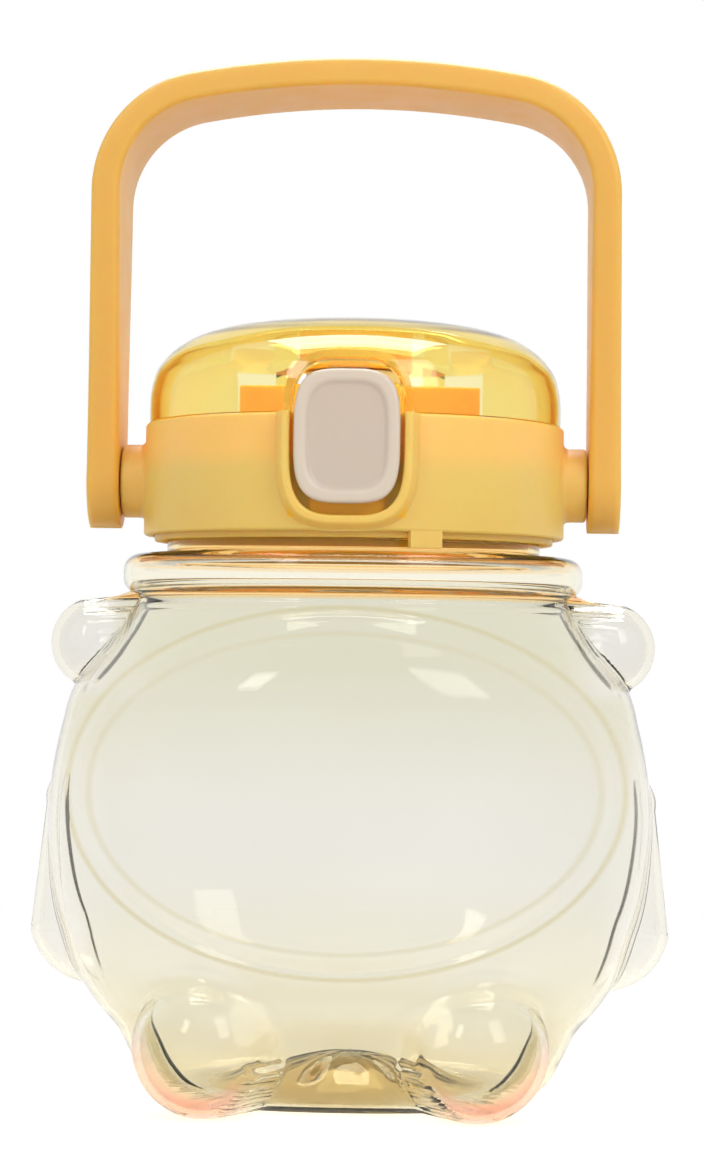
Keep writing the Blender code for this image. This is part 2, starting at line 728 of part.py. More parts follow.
def make_cover():
    """The amber dome with its button arch, latch tongue, hinge notch and two hinge arms."""
    outer = turned_solid("flip_cover", cover_profile())
    inner_rows = cover_profile(COVER_WALL)
    inner_rows[0] = (inner_rows[0][0], inner_rows[0][1] - OVERRUN)
    hollow = turned_solid("hollow", inner_rows)
    cut(hollow, bay_prism("arch", ARCH_WALL, COVER_RADIUS + OVERRUN, TONGUE_BACK))
    cut(outer, hollow)
    cut(outer, bay_prism("opening", 0.0, COVER_RADIUS + OVERRUN, TONGUE_BACK - OVERRUN))
    tongue_top = BUTTON_Z + BAY_HALF_HEIGHT + ARCH_WALL / 2
    tongue = (
        (-TONGUE_FRONT, TONGUE_BOTTOM),
        (-BARB_TIP, TONGUE_BOTTOM),
        (-BARB_TIP, TONGUE_BOTTOM + BARB_HEIGHT / 2),
        (-TONGUE_BACK - GAP, TONGUE_BOTTOM + BARB_HEIGHT),
        (-TONGUE_BACK - GAP, tongue_top),
        (-TONGUE_FRONT, tongue_top),
    )
    join(outer, extruded("tongue", tongue, -TONGUE_WIDTH / 2, TONGUE_WIDTH / 2))
    notch_half = HINGE_BLOCK_WIDTH / 2 + HINGE_NOTCH_GAP
    notch_top = LID_TOP + HINGE_BLOCK_HEIGHT + HINGE_NOTCH_RISE
    notch_low = (-notch_half, HINGE_Y / 2, LID_BOTTOM)
    cut(outer, block("notch", notch_low, (notch_half, COVER_RADIUS + OVERRUN, notch_top)))
    rows = cover_profile(COVER_WALL / 2)
    rows.insert(0, (rows[0][0], HINGE_Z - 2 * HINGE_KNUCKLE_RADIUS))
    half_thick = HINGE_ARM_THICKNESS / 2
    spread = math.degrees(math.acos(half_thick / HINGE_KNUCKLE_RADIUS))
    knuckle_steps = 12
    start, end = 180 - spread, 360 + spread
    outline = rounded_corner((HINGE_Y, HINGE_Z), HINGE_KNUCKLE_RADIUS, start, end, knuckle_steps)
    top = LID_TOP + COVER_HEIGHT + OVERRUN
    outline += [(HINGE_Y + half_thick, top), (HINGE_Y - half_thick, top)]
    for side in (-1, 1):
        low = side * HINGE_ARM_X - HINGE_ARM_WIDTH / 2
        high = low + HINGE_ARM_WIDTH
        arm = extruded("arm", outline, low, high)
        keep_inside(arm, turned_solid("dome_middle", rows))
        start = (low - OVERRUN, HINGE_Y, HINGE_Z)
        end = (high + OVERRUN, HINGE_Y, HINGE_Z)
        cut(arm, rod("eye", start, end, HINGE_PIN_RADIUS + GAP, 12))
        join(outer, arm)
    return finish(outer, "amber")


def make_hinge_pin():
    """The steel pin through the hinge block and the cover's arms."""
    reach = HINGE_ARM_X + HINGE_ARM_WIDTH / 2 + HINGE_PIN_END
    start, end = (-reach, HINGE_Y, HINGE_Z), (reach, HINGE_Y, HINGE_Z)
    return finish(rod("hinge_pin", start, end, HINGE_PIN_RADIUS, 12), "steel")


def spring_wire(name, points):
    """A wire through points as one tube, after measuring its least gap to itself."""
    places = np.array(points)
    apart = np.linalg.norm(places[:, None] - places[None], axis=2)
    index = np.arange(len(places))
    neighbours = 5
    far_along = np.abs(index[:, None] - index[None]) > neighbours
    gap = apart[far_along].min() - SPRING_WIRE
    print(f"{name} least gap to itself {gap * 1000:.2f} mm")
    assert gap > SPRING_LEAST_GAP
    curve = bpy.data.curves.new(name, "CURVE")
    curve.dimensions = "3D"
    curve.bevel_depth = SPRING_WIRE / 2
    curve.bevel_resolution = 1
    curve.use_fill_caps = True
    spline = curve.splines.new("POLY")
    spline.points.add(len(points) - 1)
    for point, place in zip(spline.points, points):
        point.co = (*place, 1.0)
    item = bpy.data.objects.new(name, curve)
    bpy.context.scene.collection.objects.link(item)
    curve.materials.append(material("steel"))
    return item


def make_hinge_spring():
    """The torsion spring round the hinge pin, with a leg at each end."""
    points_a_curl = 9
    width = HINGE_POCKET_WIDTH - 4 * SPRING_WIRE
    count = HINGE_SPRING_CURLS * points_a_curl
    leg = HINGE_SPRING_RADIUS + SPRING_WIRE
    points = []
    for i in range(count + 1):
        angle = 2 * math.pi * i / points_a_curl
        x = -width / 2 + width * i / count
        y = HINGE_Y + HINGE_SPRING_RADIUS * math.sin(angle)
        z = HINGE_Z - HINGE_SPRING_RADIUS * math.cos(angle)
        points.append((x, y, z))
    first, last = points[0], points[-1]
    points.insert(0, (first[0], first[1] - leg, first[2]))
    points.append((last[0], last[1] + leg, last[2]))
    return spring_wire("hinge_spring", points)


def make_button():
    """The dished push button with its latch frame behind."""
    sides = 40
    back, front = -BUTTON_BACK, -BUTTON_FRONT
    rows = (
        (0.0, back),
        (0.0, front + BUTTON_EDGE_ROUNDING),
        (BUTTON_EDGE_ROUNDING * 0.3, front + BUTTON_EDGE_ROUNDING * 0.3),
        (BUTTON_EDGE_ROUNDING, front),
        (BUTTON_RIM, front),
        (BUTTON_RIM + BUTTON_DISH, front + BUTTON_DISH * 0.8),
        (BUTTON_WIDTH / 3, front + BUTTON_DISH),
    )
    rings = [
        bay_outline(BUTTON_WIDTH / 2 - inset, BUTTON_HEIGHT / 2 - inset, y, sides) for inset, y in rows
    ]
    button = loft("button", rings)
    top = LATCH_BOTTOM + LATCH_BAR_HEIGHT
    outer = LATCH_ARM_X + LATCH_ARM_THICKNESS
    frame = block("frame", (-outer, back - GAP, LATCH_BOTTOM), (outer, -LATCH_BAR_BACK, top))
    hole_low = (-LATCH_ARM_X, back, LATCH_BOTTOM - OVERRUN)
    hole_high = (LATCH_ARM_X, -LATCH_BAR_FRONT, top + OVERRUN)
    cut(frame, block("window", hole_low, hole_high))
    join(button, frame)
    return finish(button, "cream")


def make_button_guide():
    """The bracket on the deck that guides the latch frame and backs the button's spring."""
    inner = LATCH_ARM_X + LATCH_ARM_THICKNESS + RUNNING_GAP
    outer = inner + GUIDE_WALL
    low_z = DECK_TOP + GAP
    high = (outer, -GUIDE_BACK + GUIDE_WALL, GUIDE_TOP)
    guide = block("button_guide", (-outer, -GUIDE_FRONT, low_z), high)
    room_low = (-inner, -GUIDE_FRONT - OVERRUN, low_z + GUIDE_WALL)
    cut(guide, block("room", room_low, (inner, -GUIDE_BACK, GUIDE_TOP + OVERRUN)))
    ledge = LEDGE_TOP + GAP
    ledge_reach = LID_INNER_RADIUS - LEDGE_WIDTH - GAP
    slab_low = (-outer - OVERRUN, -GUIDE_FRONT - OVERRUN, low_z - OVERRUN)
    slab = block("ledge_room", slab_low, (outer + OVERRUN, 0.0, ledge))
    kept = ((ledge_reach, low_z - 2 * OVERRUN), (ledge_reach, ledge + OVERRUN))
    cut(slab, turned_solid("keep", kept))
    cut(guide, slab)
    return finish(guide, "yellow")


def make_button_spring():
    """The coil spring between the latch frame and the bracket."""
    points_a_curl = 9
    z = LATCH_BOTTOM + LATCH_BAR_HEIGHT / 2
    start, end = LATCH_BAR_BACK - SPRING_WIRE / 2 - GAP, GUIDE_BACK + SPRING_WIRE / 2 + GAP
    count = BUTTON_SPRING_CURLS * points_a_curl
    points = []
    for i in range(count + 1):
        angle = 2 * math.pi * i / points_a_curl
        y = -start + (start - end) * i / count
        x = BUTTON_SPRING_RADIUS * math.cos(angle)
        points.append((x, y, z + BUTTON_SPRING_RADIUS * math.sin(angle)))
    return spring_wire("button_spring", points)


def make_spout():
    """The drinking spout, snapped through the deck."""
    bore = SPOUT_RADIUS - SPOUT_WALL
    low = DECK_BOTTOM - SPOUT_TAIL
    snap = SPOUT_RADIUS + SPOUT_SNAP
    rim = SPOUT_WALL / 2
    lip = rounded_corner((SPOUT_RADIUS - rim, SPOUT_TOP - rim), rim, 0, 180, 3)
    profile = [
        (bore, low),
        (SPOUT_RADIUS, low),
        (snap, DECK_BOTTOM - GAP - SPOUT_SNAP),
        (snap, DECK_BOTTOM - GAP),
        (SPOUT_RADIUS, DECK_BOTTOM - GAP),
        (SPOUT_RADIUS, SPOUT_SEAT),
        (SPOUT_FLANGE_RADIUS, SPOUT_SEAT),
        (SPOUT_FLANGE_RADIUS, SPOUT_SEAT + SPOUT_FLANGE_THICKNESS),
        (SPOUT_RADIUS, SPOUT_SEAT + SPOUT_FLANGE_THICKNESS),
    ] + lip
    return finish(turned("spout", profile, 32), "white")


def make_spout_gasket():
    """The thin ring under the spout's flange."""
    low, high = DECK_TOP + GAP, SPOUT_SEAT - GAP
    inner, outer = SPOUT_RADIUS + GAP, SPOUT_FLANGE_RADIUS - GAP
    profile = ((inner, low), (outer, low), (outer, high), (inner, high))
    return finish(turned("spout_gasket", profile, 32), "silicone")


def make_vent_valve():
    """The rubber umbrella valve that lets air in."""
    seat = DECK_TOP + GAP
    under = DECK_BOTTOM - GAP
    profile = (
        (VENT_STEM_RADIUS / 2, under - VENT_BULB_LENGTH),
        (VENT_BULB_RADIUS, under - VENT_BULB_LENGTH / 3),
        (VENT_BULB_RADIUS, under),
        (VENT_STEM_RADIUS, under),
        (VENT_STEM_RADIUS, seat),
        (VENT_CAP_RADIUS, seat),
        (VENT_CAP_RADIUS * 0.9, seat + VENT_CAP_THICKNESS / 2),
        (VENT_CAP_RADIUS / 3, seat + VENT_CAP_THICKNESS),
    )
    return finish(turned_solid("vent_valve", profile, 20, (VENT_X, VENT_Y)), "silicone")


def make_plug():
    """The rubber plug that the cover presses on the spout."""
    low = SPOUT_TOP + GAP
    seat = low + PLUG_THICKNESS
    plate = seat + GAP + RETAINER_PLATE + GAP
    profile = (
        (PLUG_NUB_RADIUS * 0.8, low - PLUG_NUB_DEPTH),
        (PLUG_NUB_RADIUS, low - PLUG_NUB_DEPTH / 2),
        (PLUG_NUB_RADIUS, low),
        (SPOUT_RADIUS + PLUG_NUB_DEPTH, low),
        (SPOUT_RADIUS + PLUG_NUB_DEPTH, seat),
        (PLUG_STEM_RADIUS, seat),
        (PLUG_STEM_RADIUS, plate),
        (PLUG_HEAD_RADIUS, plate),
        (PLUG_HEAD_RADIUS * 0.85, plate + PLUG_HEAD_THICKNESS),
    )
    return finish(turned_solid("spout_plug", profile, SMALL_SIDES), "silicone")


def make_retainer():
    """The rigid cup under the cover's top that holds the plug."""
    low = SPOUT_TOP + GAP + PLUG_THICKNESS + GAP
    inner = PLUG_STEM_RADIUS + GAP
    rows = cover_profile(COVER_WALL)
    ceiling = np.interp(RETAINER_RADIUS, [r for r, z in rows][::-1], [z for r, z in rows][::-1])
    top = float(ceiling) - 2 * GAP
    profile = (
        (inner, low),
        (RETAINER_RADIUS, low),
        (RETAINER_RADIUS, top),
        (RETAINER_RADIUS - RETAINER_WALL, top),
        (RETAINER_RADIUS - RETAINER_WALL, low + RETAINER_PLATE),
        (inner, low + RETAINER_PLATE),
    )
    return finish(turned("plug_retainer", profile, 32), "yellow")


def handle_path():
    """Stations up the right half of the handle: inner point, outward direction, run upward."""
    stations = []
    drop_steps = (1.0, 0.96, 0.85, 0.66, 0.36)
    for share in drop_steps:
        stations.append((HANDLE_INNER_X, PIVOT_Z - HANDLE_END_RADIUS * share, 0.0))
    corner_r = HANDLE_CORNER_RADIUS - HANDLE_TOP_THICKNESS
    inner_top = HANDLE_TOP - HANDLE_CROWN - HANDLE_TOP_THICKNESS
    corner_z = inner_top - corner_r
    rise_steps = 3
    for i in range(rise_steps):
        stations.append((HANDLE_INNER_X, PIVOT_Z + (corner_z - PIVOT_Z) * i / rise_steps, 0.0))
    arc_steps = 7
    corner_x = HANDLE_INNER_X - corner_r
    crown_angle = 2 * math.atan(HANDLE_CROWN / corner_x)
    for i in range(arc_steps + 1):
        angle = (math.pi / 2 - crown_angle) * i / arc_steps
        x = corner_x + corner_r * math.cos(angle)
        stations.append((x, corner_z + corner_r * math.sin(angle), angle))
    crown_steps = 4
    x_end, z_end, turn_end = stations[-1]
    crown_r = x_end / math.sin(crown_angle)
    for i in range(1, crown_steps + 1):
        angle = crown_angle * (1 - i / crown_steps)
        x = crown_r * math.sin(angle)
        z = z_end + crown_r * (math.cos(angle) - math.cos(crown_angle))
        stations.append((x, z, math.pi / 2 - angle))
    return stations


def handle_section(x, z, turn, side):
    """One rounded section of the strap, across its thickness and depth."""
    inner_top = HANDLE_TOP - HANDLE_TOP_THICKNESS
    share = min(max((z - PIVOT_Z) / (inner_top - PIVOT_Z), 0.0), 1.0)
    thickness = HANDLE_LOW_THICKNESS + (HANDLE_TOP_THICKNESS - HANDLE_LOW_THICKNESS) * share
    half = HANDLE_END_RADIUS + (HANDLE_TOP_DEPTH / 2 - HANDLE_END_RADIUS) * float(smooth_step(share))
    drop = max(PIVOT_Z - z, 0.0)
    if drop:
        half = math.sqrt(max(HANDLE_END_RADIUS**2 - drop**2, (2 * HANDLE_EDGE_ROUNDING) ** 2))
    edge = HANDLE_EDGE_ROUNDING
    corners = (
        ((thickness - edge, half - edge), 0, 90),
        ((edge, half - edge), 90, 180),
        ((edge, edge - half), 180, 270),
        ((thickness - edge, edge - half), 270, 360),
    )
    points = []
    for centre, start, end in corners:
        for out, y in rounded_corner(centre, edge, start, end, 2):
            points.append((side * (x + out * math.cos(turn)), y, z + out * math.sin(turn)))
    return points


def make_handle():
    """The carrying strap, with a stepped hole for a pin in each end."""
    half = handle_path()
    rings = [handle_section(*station, 1) for station in half]
    far = [handle_section(*station, -1) for station in half[:-1]]
    rings += far[::-1]
    handle = loft("handle", rings)
    for side in (-1, 1):
        inside = (side * (HANDLE_INNER_X - OVERRUN), 0.0, PIVOT_Z)
        outside = (side * (HANDLE_OUTER_X + OVERRUN), 0.0, PIVOT_Z)
        cut(handle, rod("bore", inside, outside, HANDLE_PIN_RADIUS + GAP))
        seat = (side * (HANDLE_OUTER_X - HANDLE_PIN_HEAD_THICKNESS - GAP), 0.0, PIVOT_Z)
        cut(handle, rod("seat", seat, outside, HANDLE_PIN_HEAD_RADIUS + GAP))
    return finish(handle, "yellow")


def make_handle_pin(name, side):
    """A headed pin through one end of the handle into its boss."""
    tip = (side * (BOSS_END - HANDLE_PIN_DEPTH), 0.0, PIVOT_Z)
    head = (side * (HANDLE_OUTER_X - HANDLE_PIN_HEAD_THICKNESS), 0.0, PIVOT_Z)
    end = (side * HANDLE_OUTER_X, 0.0, PIVOT_Z)
    pin = rod(name, tip, (head[0] + side * GAP, 0.0, PIVOT_Z), HANDLE_PIN_RADIUS)
    join(pin, rod("head", head, end, HANDLE_PIN_HEAD_RADIUS))
    return finish(pin, "yellow")


def build():
    """Make every piece of the bottle."""
    clear_scene()
    make_bottle()
    make_gasket()
    make_liner()
    make_lid_base()
    make_cover()
    make_hinge_pin()
    make_hinge_spring()
    make_button()
    make_button_guide()
    make_button_spring()
    make_spout()
    make_spout_gasket()
    make_vent_valve()
    make_plug()
    make_retainer()
    make_handle()
    make_handle_pin("handle_pin_right", 1)
    make_handle_pin("handle_pin_left", -1)


build()
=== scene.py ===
"""Looks of the clear drinking bottle: fine meshes, plastics, studio and camera.

The sizes are in metres. Most repeat those of the CAD model, because this script can't read its source. The
fine bottle has a thinner wall and floor than the CAD's, and a hollow collar.
"""
import json
import math

import bmesh
import bpy
import numpy as np
from mathutils import Matrix, Vector


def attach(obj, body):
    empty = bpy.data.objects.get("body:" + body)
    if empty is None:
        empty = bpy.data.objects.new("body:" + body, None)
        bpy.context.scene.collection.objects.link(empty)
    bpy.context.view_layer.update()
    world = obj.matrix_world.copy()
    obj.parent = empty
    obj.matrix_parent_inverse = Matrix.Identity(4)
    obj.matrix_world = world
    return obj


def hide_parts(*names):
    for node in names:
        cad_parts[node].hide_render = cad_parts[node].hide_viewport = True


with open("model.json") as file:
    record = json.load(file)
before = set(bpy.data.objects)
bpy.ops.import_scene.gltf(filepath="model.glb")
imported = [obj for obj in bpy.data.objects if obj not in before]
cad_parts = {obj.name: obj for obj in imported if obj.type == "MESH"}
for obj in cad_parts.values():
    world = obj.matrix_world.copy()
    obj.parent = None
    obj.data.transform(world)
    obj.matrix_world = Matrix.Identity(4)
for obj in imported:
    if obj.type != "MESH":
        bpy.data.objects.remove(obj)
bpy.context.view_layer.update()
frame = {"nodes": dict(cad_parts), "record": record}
nodes = frame["nodes"]

# Sizes shared with the CAD model
GAP = 0.0003
OVERRUN = 0.003
BELLY_TOP = 0.1032
BELLY_HALF_WIDTH = 0.0633
BELLY_HALF_DEPTH = 0.0522
BELLY_OUTLINE = (
    (0.0, 0.59), (0.012, 0.632), (0.035, 0.672), (0.078, 0.713), (0.136, 0.762),
    (0.185, 0.828), (0.242, 0.893), (0.339, 0.956), (0.485, 0.995), (0.575, 1.0),
    (0.653, 0.988), (0.752, 0.957), (0.822, 0.925), (0.911, 0.818), (1.0, 0.717),
)
BELLY_SQUARENESS = 2.45
ROUND_FROM = 0.6
PUSH_UP_RADIUS = 0.0290
PUSH_UP_HEIGHT = 0.0085
EAR = (0.0542, 0.0942, 0.0097)
ARM_LOW = (0.0532, 0.0365, 0.0145)
ARM_HIGH = (0.0585, 0.0615, 0.0060)
FOOT = (0.0272, -0.0380, 0.0144)
FOOT_SINK = 0.0004
LIMB_FILLET = 0.0014
FOOT_FILLET = 0.0030
TUMMY_Z = 0.0650
TUMMY_HALF_WIDTH = 0.0563
TUMMY_HALF_HEIGHT = 0.0365
TUMMY_BORDER = 0.0060
TUMMY_RISE = 0.0013
COLLAR_RADIUS = 0.0485
COLLAR_BOTTOM = 0.1046
COLLAR_TOP = 0.1130
COLLAR_ROUNDING = 0.0034
NECK_RADIUS = 0.0394
NECK_WALL = 0.0022
MOUTH_TOP = 0.1260
MOUTH_ROUNDING = 0.0006
THREAD_LEAD = 0.0100
THREAD_STARTS = 2
THREAD_TURN_SHARE = 0.45
THREAD_HEIGHT = 0.0011
THREAD_ROOT_WIDTH = 0.0018
THREAD_CREST_WIDTH = 0.0010
THREAD_BASE = 0.1176
LID_BOTTOM = 0.1169
LID_TOP = 0.1404
LID_BOTTOM_RADIUS = 0.0444
LID_TOP_RADIUS = 0.0442
LID_WALL = 0.0018
LINER_RADIUS = 0.0421
LINER_WALL = 0.0013
LINER_DROP = 0.0012
DECK_BOTTOM = 0.1284
DECK_TOP = 0.1305
LEDGE_WIDTH = 0.0034
LEDGE_BOTTOM = 0.1308
LEDGE_TOP = 0.1323
BOSS_RADIUS = 0.00775
BOSS_END = 0.0490
PIVOT_Z = 0.1286
LUG_X = 0.0153
LUG_WIDTH = 0.0066
LUG_DROP = 0.0032
LUG_THICKNESS = 0.0018
GASKET_INNER_RADIUS = 0.0364
SPOUT_RADIUS = 0.0095
SPOUT_WALL = 0.0022
SPOUT_TOP = 0.1492
SPOUT_FLANGE_RADIUS = 0.0125
SPOUT_FLANGE_THICKNESS = 0.0015
SPOUT_TAIL = 0.0042
SPOUT_SNAP = 0.0006
SPOUT_GASKET_THICKNESS = 0.0008
PLUG_THICKNESS = 0.0025
PLUG_NUB_RADIUS = 0.0055
PLUG_NUB_DEPTH = 0.0010
PLUG_STEM_RADIUS = 0.0038
PLUG_HEAD_RADIUS = 0.0052
PLUG_HEAD_THICKNESS = 0.0012
RETAINER_RADIUS = 0.0120
RETAINER_PLATE = 0.0015
RETAINER_WALL = 0.0018
COVER_RADIUS = 0.0435
COVER_HEIGHT = 0.0218
COVER_WALL = 0.0020
COVER_OUTLINE = (
    (1.0, 0.0), (1.0, 0.16), (0.995, 0.30), (0.985, 0.40), (0.968, 0.50), (0.942, 0.58),
    (0.902, 0.67), (0.85, 0.75), (0.79, 0.82), (0.70, 0.885), (0.55, 0.945), (0.36, 0.98), (0.18, 0.995),
)
BUTTON_WIDTH = 0.0211
BUTTON_HEIGHT = 0.0266
BUTTON_Z = 0.1355
BUTTON_FRONT = 0.0472
BUTTON_THICKNESS = 0.0026
BUTTON_CORNER_POWER = 3.6
BAY_SIDE_GAP = 0.00085
BAY_END_GAP = 0.0023
BAY_LIP = 0.0022
BAY_LIP_FRONT = 0.0459
ARCH_WALL = 0.0016
TONGUE_WIDTH = 0.0080
TONGUE_FRONT = 0.0380
TONGUE_BACK = 0.0365
TONGUE_BOTTOM = 0.1375
BARB_TIP = 0.0350
BARB_HEIGHT = 0.0030
LATCH_BOTTOM = 0.1408
LATCH_BAR_HEIGHT = 0.0030
LATCH_BAR_FRONT = 0.0342
LATCH_BAR_BACK = 0.0320
LATCH_ARM_X = 0.0060
LATCH_ARM_THICKNESS = 0.0020
HINGE_ARM_X = 0.0165
HINGE_ARM_WIDTH = 0.0050
HINGE_ARM_THICKNESS = 0.0036
HINGE_KNUCKLE_RADIUS = 0.0029
HINGE_Y = 0.0320
HINGE_Z = 0.1354
HINGE_BLOCK_WIDTH = 0.0540
HINGE_BLOCK_HEIGHT = 0.0115
HINGE_BLOCK_FRONT = 0.0046
HINGE_NOTCH_GAP = 0.0006
HINGE_NOTCH_RISE = 0.0031
HINGE_SLOT_DROP = 0.0070
HINGE_POCKET_WIDTH = 0.0100
HANDLE_INNER_X = 0.0493
HANDLE_LOW_THICKNESS = 0.0067
HANDLE_TOP_THICKNESS = 0.0057
HANDLE_TOP = 0.2165
HANDLE_CORNER_RADIUS = 0.0250
HANDLE_CROWN = 0.0028
HANDLE_TOP_DEPTH = 0.0310
HANDLE_END_RADIUS = 0.0100
HANDLE_EDGE_ROUNDING = 0.0014

# Sizes set here for the fine pieces
BELLY_WALL = 0.0016
FLOOR_THICKNESS = 0.0018
INNER_SOFTENING = 1.7
TUMMY_STEP = 0.0018
TUMMY_GROOVE = 0.08
NECK_ROOT_ROUNDING = 0.0009
BAY_BACK = 0.0416
BAY_BACK_THICKNESS = 0.0012
BAY_WINDOW = 0.0088
BAY_WINDOW_HALF_HEIGHT = 0.006
BAY_CUT_MARGIN = 0.0008
BAY_CUT_FRONT = COVER_RADIUS + 0.01
BAY_CUT_BACK = 0.0385
HINGE_SLOT_HALF = 0.0028
HINGE_SLOT_END = 0.0474
HINGE_POCKET_FLOOR = 0.0001
HINGE_EYE_RADIUS = 0.0013
PLUG_STEM_HOLE = 0.0041
PLUG_OVERLAP = 0.0007
SOFT_EDGE = 0.0003
LINER_EDGE = 0.0004
HANDLE_SEAT = (0.0058, 0.0017)
HANDLE_BORE = (0.0033, 0.010)
ROUND_SIDES = 256


# Mesh helpers

def new_object(name, verts, faces, smooth=True):
    """A mesh object from points and faces, turned outward."""
    mesh = bpy.data.meshes.new(name)
    mesh.from_pydata(np.asarray(verts, float).tolist(), [], faces)
    work = bmesh.new()
    work.from_mesh(mesh)
    bmesh.ops.recalc_face_normals(work, faces=work.faces)
    work.to_mesh(mesh)
    work.free()
    if smooth:
        mesh.shade_smooth()
    item = bpy.data.objects.new(name, mesh)
    bpy.context.scene.collection.objects.link(item)
    return item


def loft(name, rings, closed=False):
    """A solid through rings of points, capped at both ends or joined end to end."""
    rings = np.asarray(rings, float)
    count, sides = rings.shape[:2]
    rows = count if closed else count - 1
    i = np.arange(rows)[:, None]
    j = np.arange(sides)[None]
    here = i * sides
    there = (i + 1) % count * sides
    after = (j + 1) % sides
    quads = np.stack([here + j, here + after, there + after, there + j], axis=-1).reshape(-1, 4)
    faces = quads.tolist()
    if not closed:
        faces.append(list(range(sides))[::-1])
        faces.append(list(range((count - 1) * sides, count * sides)))
    return new_object(name, rings.reshape(-1, 3), faces)


def turned(name, profile, sides, closed=True, centre=(0.0, 0.0)):
    """A turned solid from an outline of (radius, height)."""
    angles = 2 * math.pi * np.arange(sides) / sides
    profile = np.asarray(profile, float)
    if closed:
        r, z = profile[None, :, 0], np.broadcast_to(profile[None, :, 1], (sides, len(profile)))
        x = centre[0] + r * np.cos(angles)[:, None]
        y = centre[1] + r * np.sin(angles)[:, None]
        return loft(name, np.stack([x, y, z], axis=-1), closed=True)
    r, z = profile[:, 0][:, None], np.broadcast_to(profile[:, 1][:, None], (len(profile), sides))
    x = centre[0] + r * np.cos(angles)[None]
    y = centre[1] + r * np.sin(angles)[None]
    return loft(name, np.stack([x, y, z], axis=-1))


def block(name, low, high):
    """A box between two corners."""
    corners = [(x, y, z) for x in (low[0], high[0]) for y in (low[1], high[1]) for z in (low[2], high[2])]
    faces = [(0, 1, 3, 2), (4, 6, 7, 5), (0, 4, 5, 1), (2, 3, 7, 6), (0, 2, 6, 4), (1, 5, 7, 3)]
    return new_object(name, corners, faces, smooth=False)


def extruded(name, outline, start, end):
    """A solid with an outline of (y, z) between two places along X."""
    return loft(name, [[(x, y, z) for y, z in outline] for x in (start, end)])


def combine(item, other, operation):
    """Apply a Boolean of two objects and remove the second."""
    change = item.modifiers.new("combine", "BOOLEAN")
    change.operation = operation
    change.solver = "EXACT"
    change.object = other
    shape = item.evaluated_get(bpy.context.evaluated_depsgraph_get())
    mesh = bpy.data.meshes.new_from_object(shape)
    item.modifiers.remove(change)
    item.data = mesh
    bpy.data.objects.remove(other, do_unlink=True)
    return item


def crisp(item, angle=32):
    """Smooth shading that keeps edges sharper than an angle in degrees."""
    item.data.shade_smooth()
    item.data.set_sharp_from_angle(angle=math.radians(angle))
    return item


def arc(centre, radius, start, end, steps):
    """Points of an arc, angles in degrees."""
    angles = np.radians(np.linspace(start, end, steps + 1))
    return [(centre[0] + radius * math.cos(a), centre[1] + radius * math.sin(a)) for a in angles]


def smooth_step(t):
    """Zero below 0, one above 1, smooth between."""
    t = np.clip(t, 0.0, 1.0)
    return t * t * (3 - 2 * t)


def smooth_curve(table, at):
    """A smooth curve through a table, and its slope."""
    xs = np.array([s[0] for s in table])
    ys = np.array([s[1] for s in table])
    slopes = np.gradient(ys, xs)
    at = np.clip(at, xs[0], xs[-1])
    i = np.clip(np.searchsorted(xs, at) - 1, 0, len(xs) - 2)
    width = xs[i + 1] - xs[i]
    t = (at - xs[i]) / width
    value = (
        (2 * t**3 - 3 * t**2 + 1) * ys[i]
        + (t**3 - 2 * t**2 + t) * width * slopes[i]
        + (3 * t**2 - 2 * t**3) * ys[i + 1]
        + (t**3 - t**2) * width * slopes[i + 1]
    )
    slope = (
        (6 * t**2 - 6 * t) * (ys[i] - ys[i + 1]) / width
        + (3 * t**2 - 4 * t + 1) * slopes[i]
        + (3 * t**2 - 2 * t) * slopes[i + 1]
    )
    return value, slope


# The bottle's shape

def smooth_union(a, b, fillet):
    """The nearer of two distances, with a fillet where they meet."""
    h = np.maximum(fillet - np.abs(a - b), 0.0) / fillet
    return np.minimum(a, b) - h * h * fillet / 4


def belly_distance(x, y, z, crisp_oval=True):
    """Distance from the belly's surface, negative inside."""
    share, slope = smooth_curve(BELLY_OUTLINE, z / BELLY_TOP)
    roundness = smooth_step((z / BELLY_TOP - ROUND_FROM) / (1 - ROUND_FROM))
    half_width = BELLY_HALF_WIDTH * share
    depth = np.where(y < 0, BELLY_HALF_DEPTH - TUMMY_RISE, BELLY_HALF_DEPTH) / BELLY_HALF_WIDTH
    half_depth = half_width * (depth + (1 - depth) * roundness)
    power = BELLY_SQUARENESS + (2 - BELLY_SQUARENESS) * roundness
    radius = np.hypot(x, y)
    safe = np.maximum(radius, GAP)
    reach = (
        np.abs(x / safe / half_width) ** power + np.abs(y / safe / half_depth) ** power
    ) ** (-1 / power)
    oval = np.hypot(x / TUMMY_HALF_WIDTH, (z - TUMMY_Z) / TUMMY_HALF_HEIGHT)
    inward = (1 - oval) * TUMMY_HALF_HEIGHT
    rise = smooth_step(inward / TUMMY_BORDER)
    if crisp_oval:
        rise = 0.3 * smooth_step(inward / TUMMY_STEP) + 0.7 * rise
        rise = rise - TUMMY_GROOVE * np.exp(-(((inward - TUMMY_BORDER * 0.8) / TUMMY_STEP) ** 2))
    rise = rise * TUMMY_RISE
    reach = reach + np.where(y < 0, rise, 0.0)
    lean = slope * BELLY_HALF_WIDTH / BELLY_TOP
    return (radius - reach) / np.sqrt(1 + lean * lean)


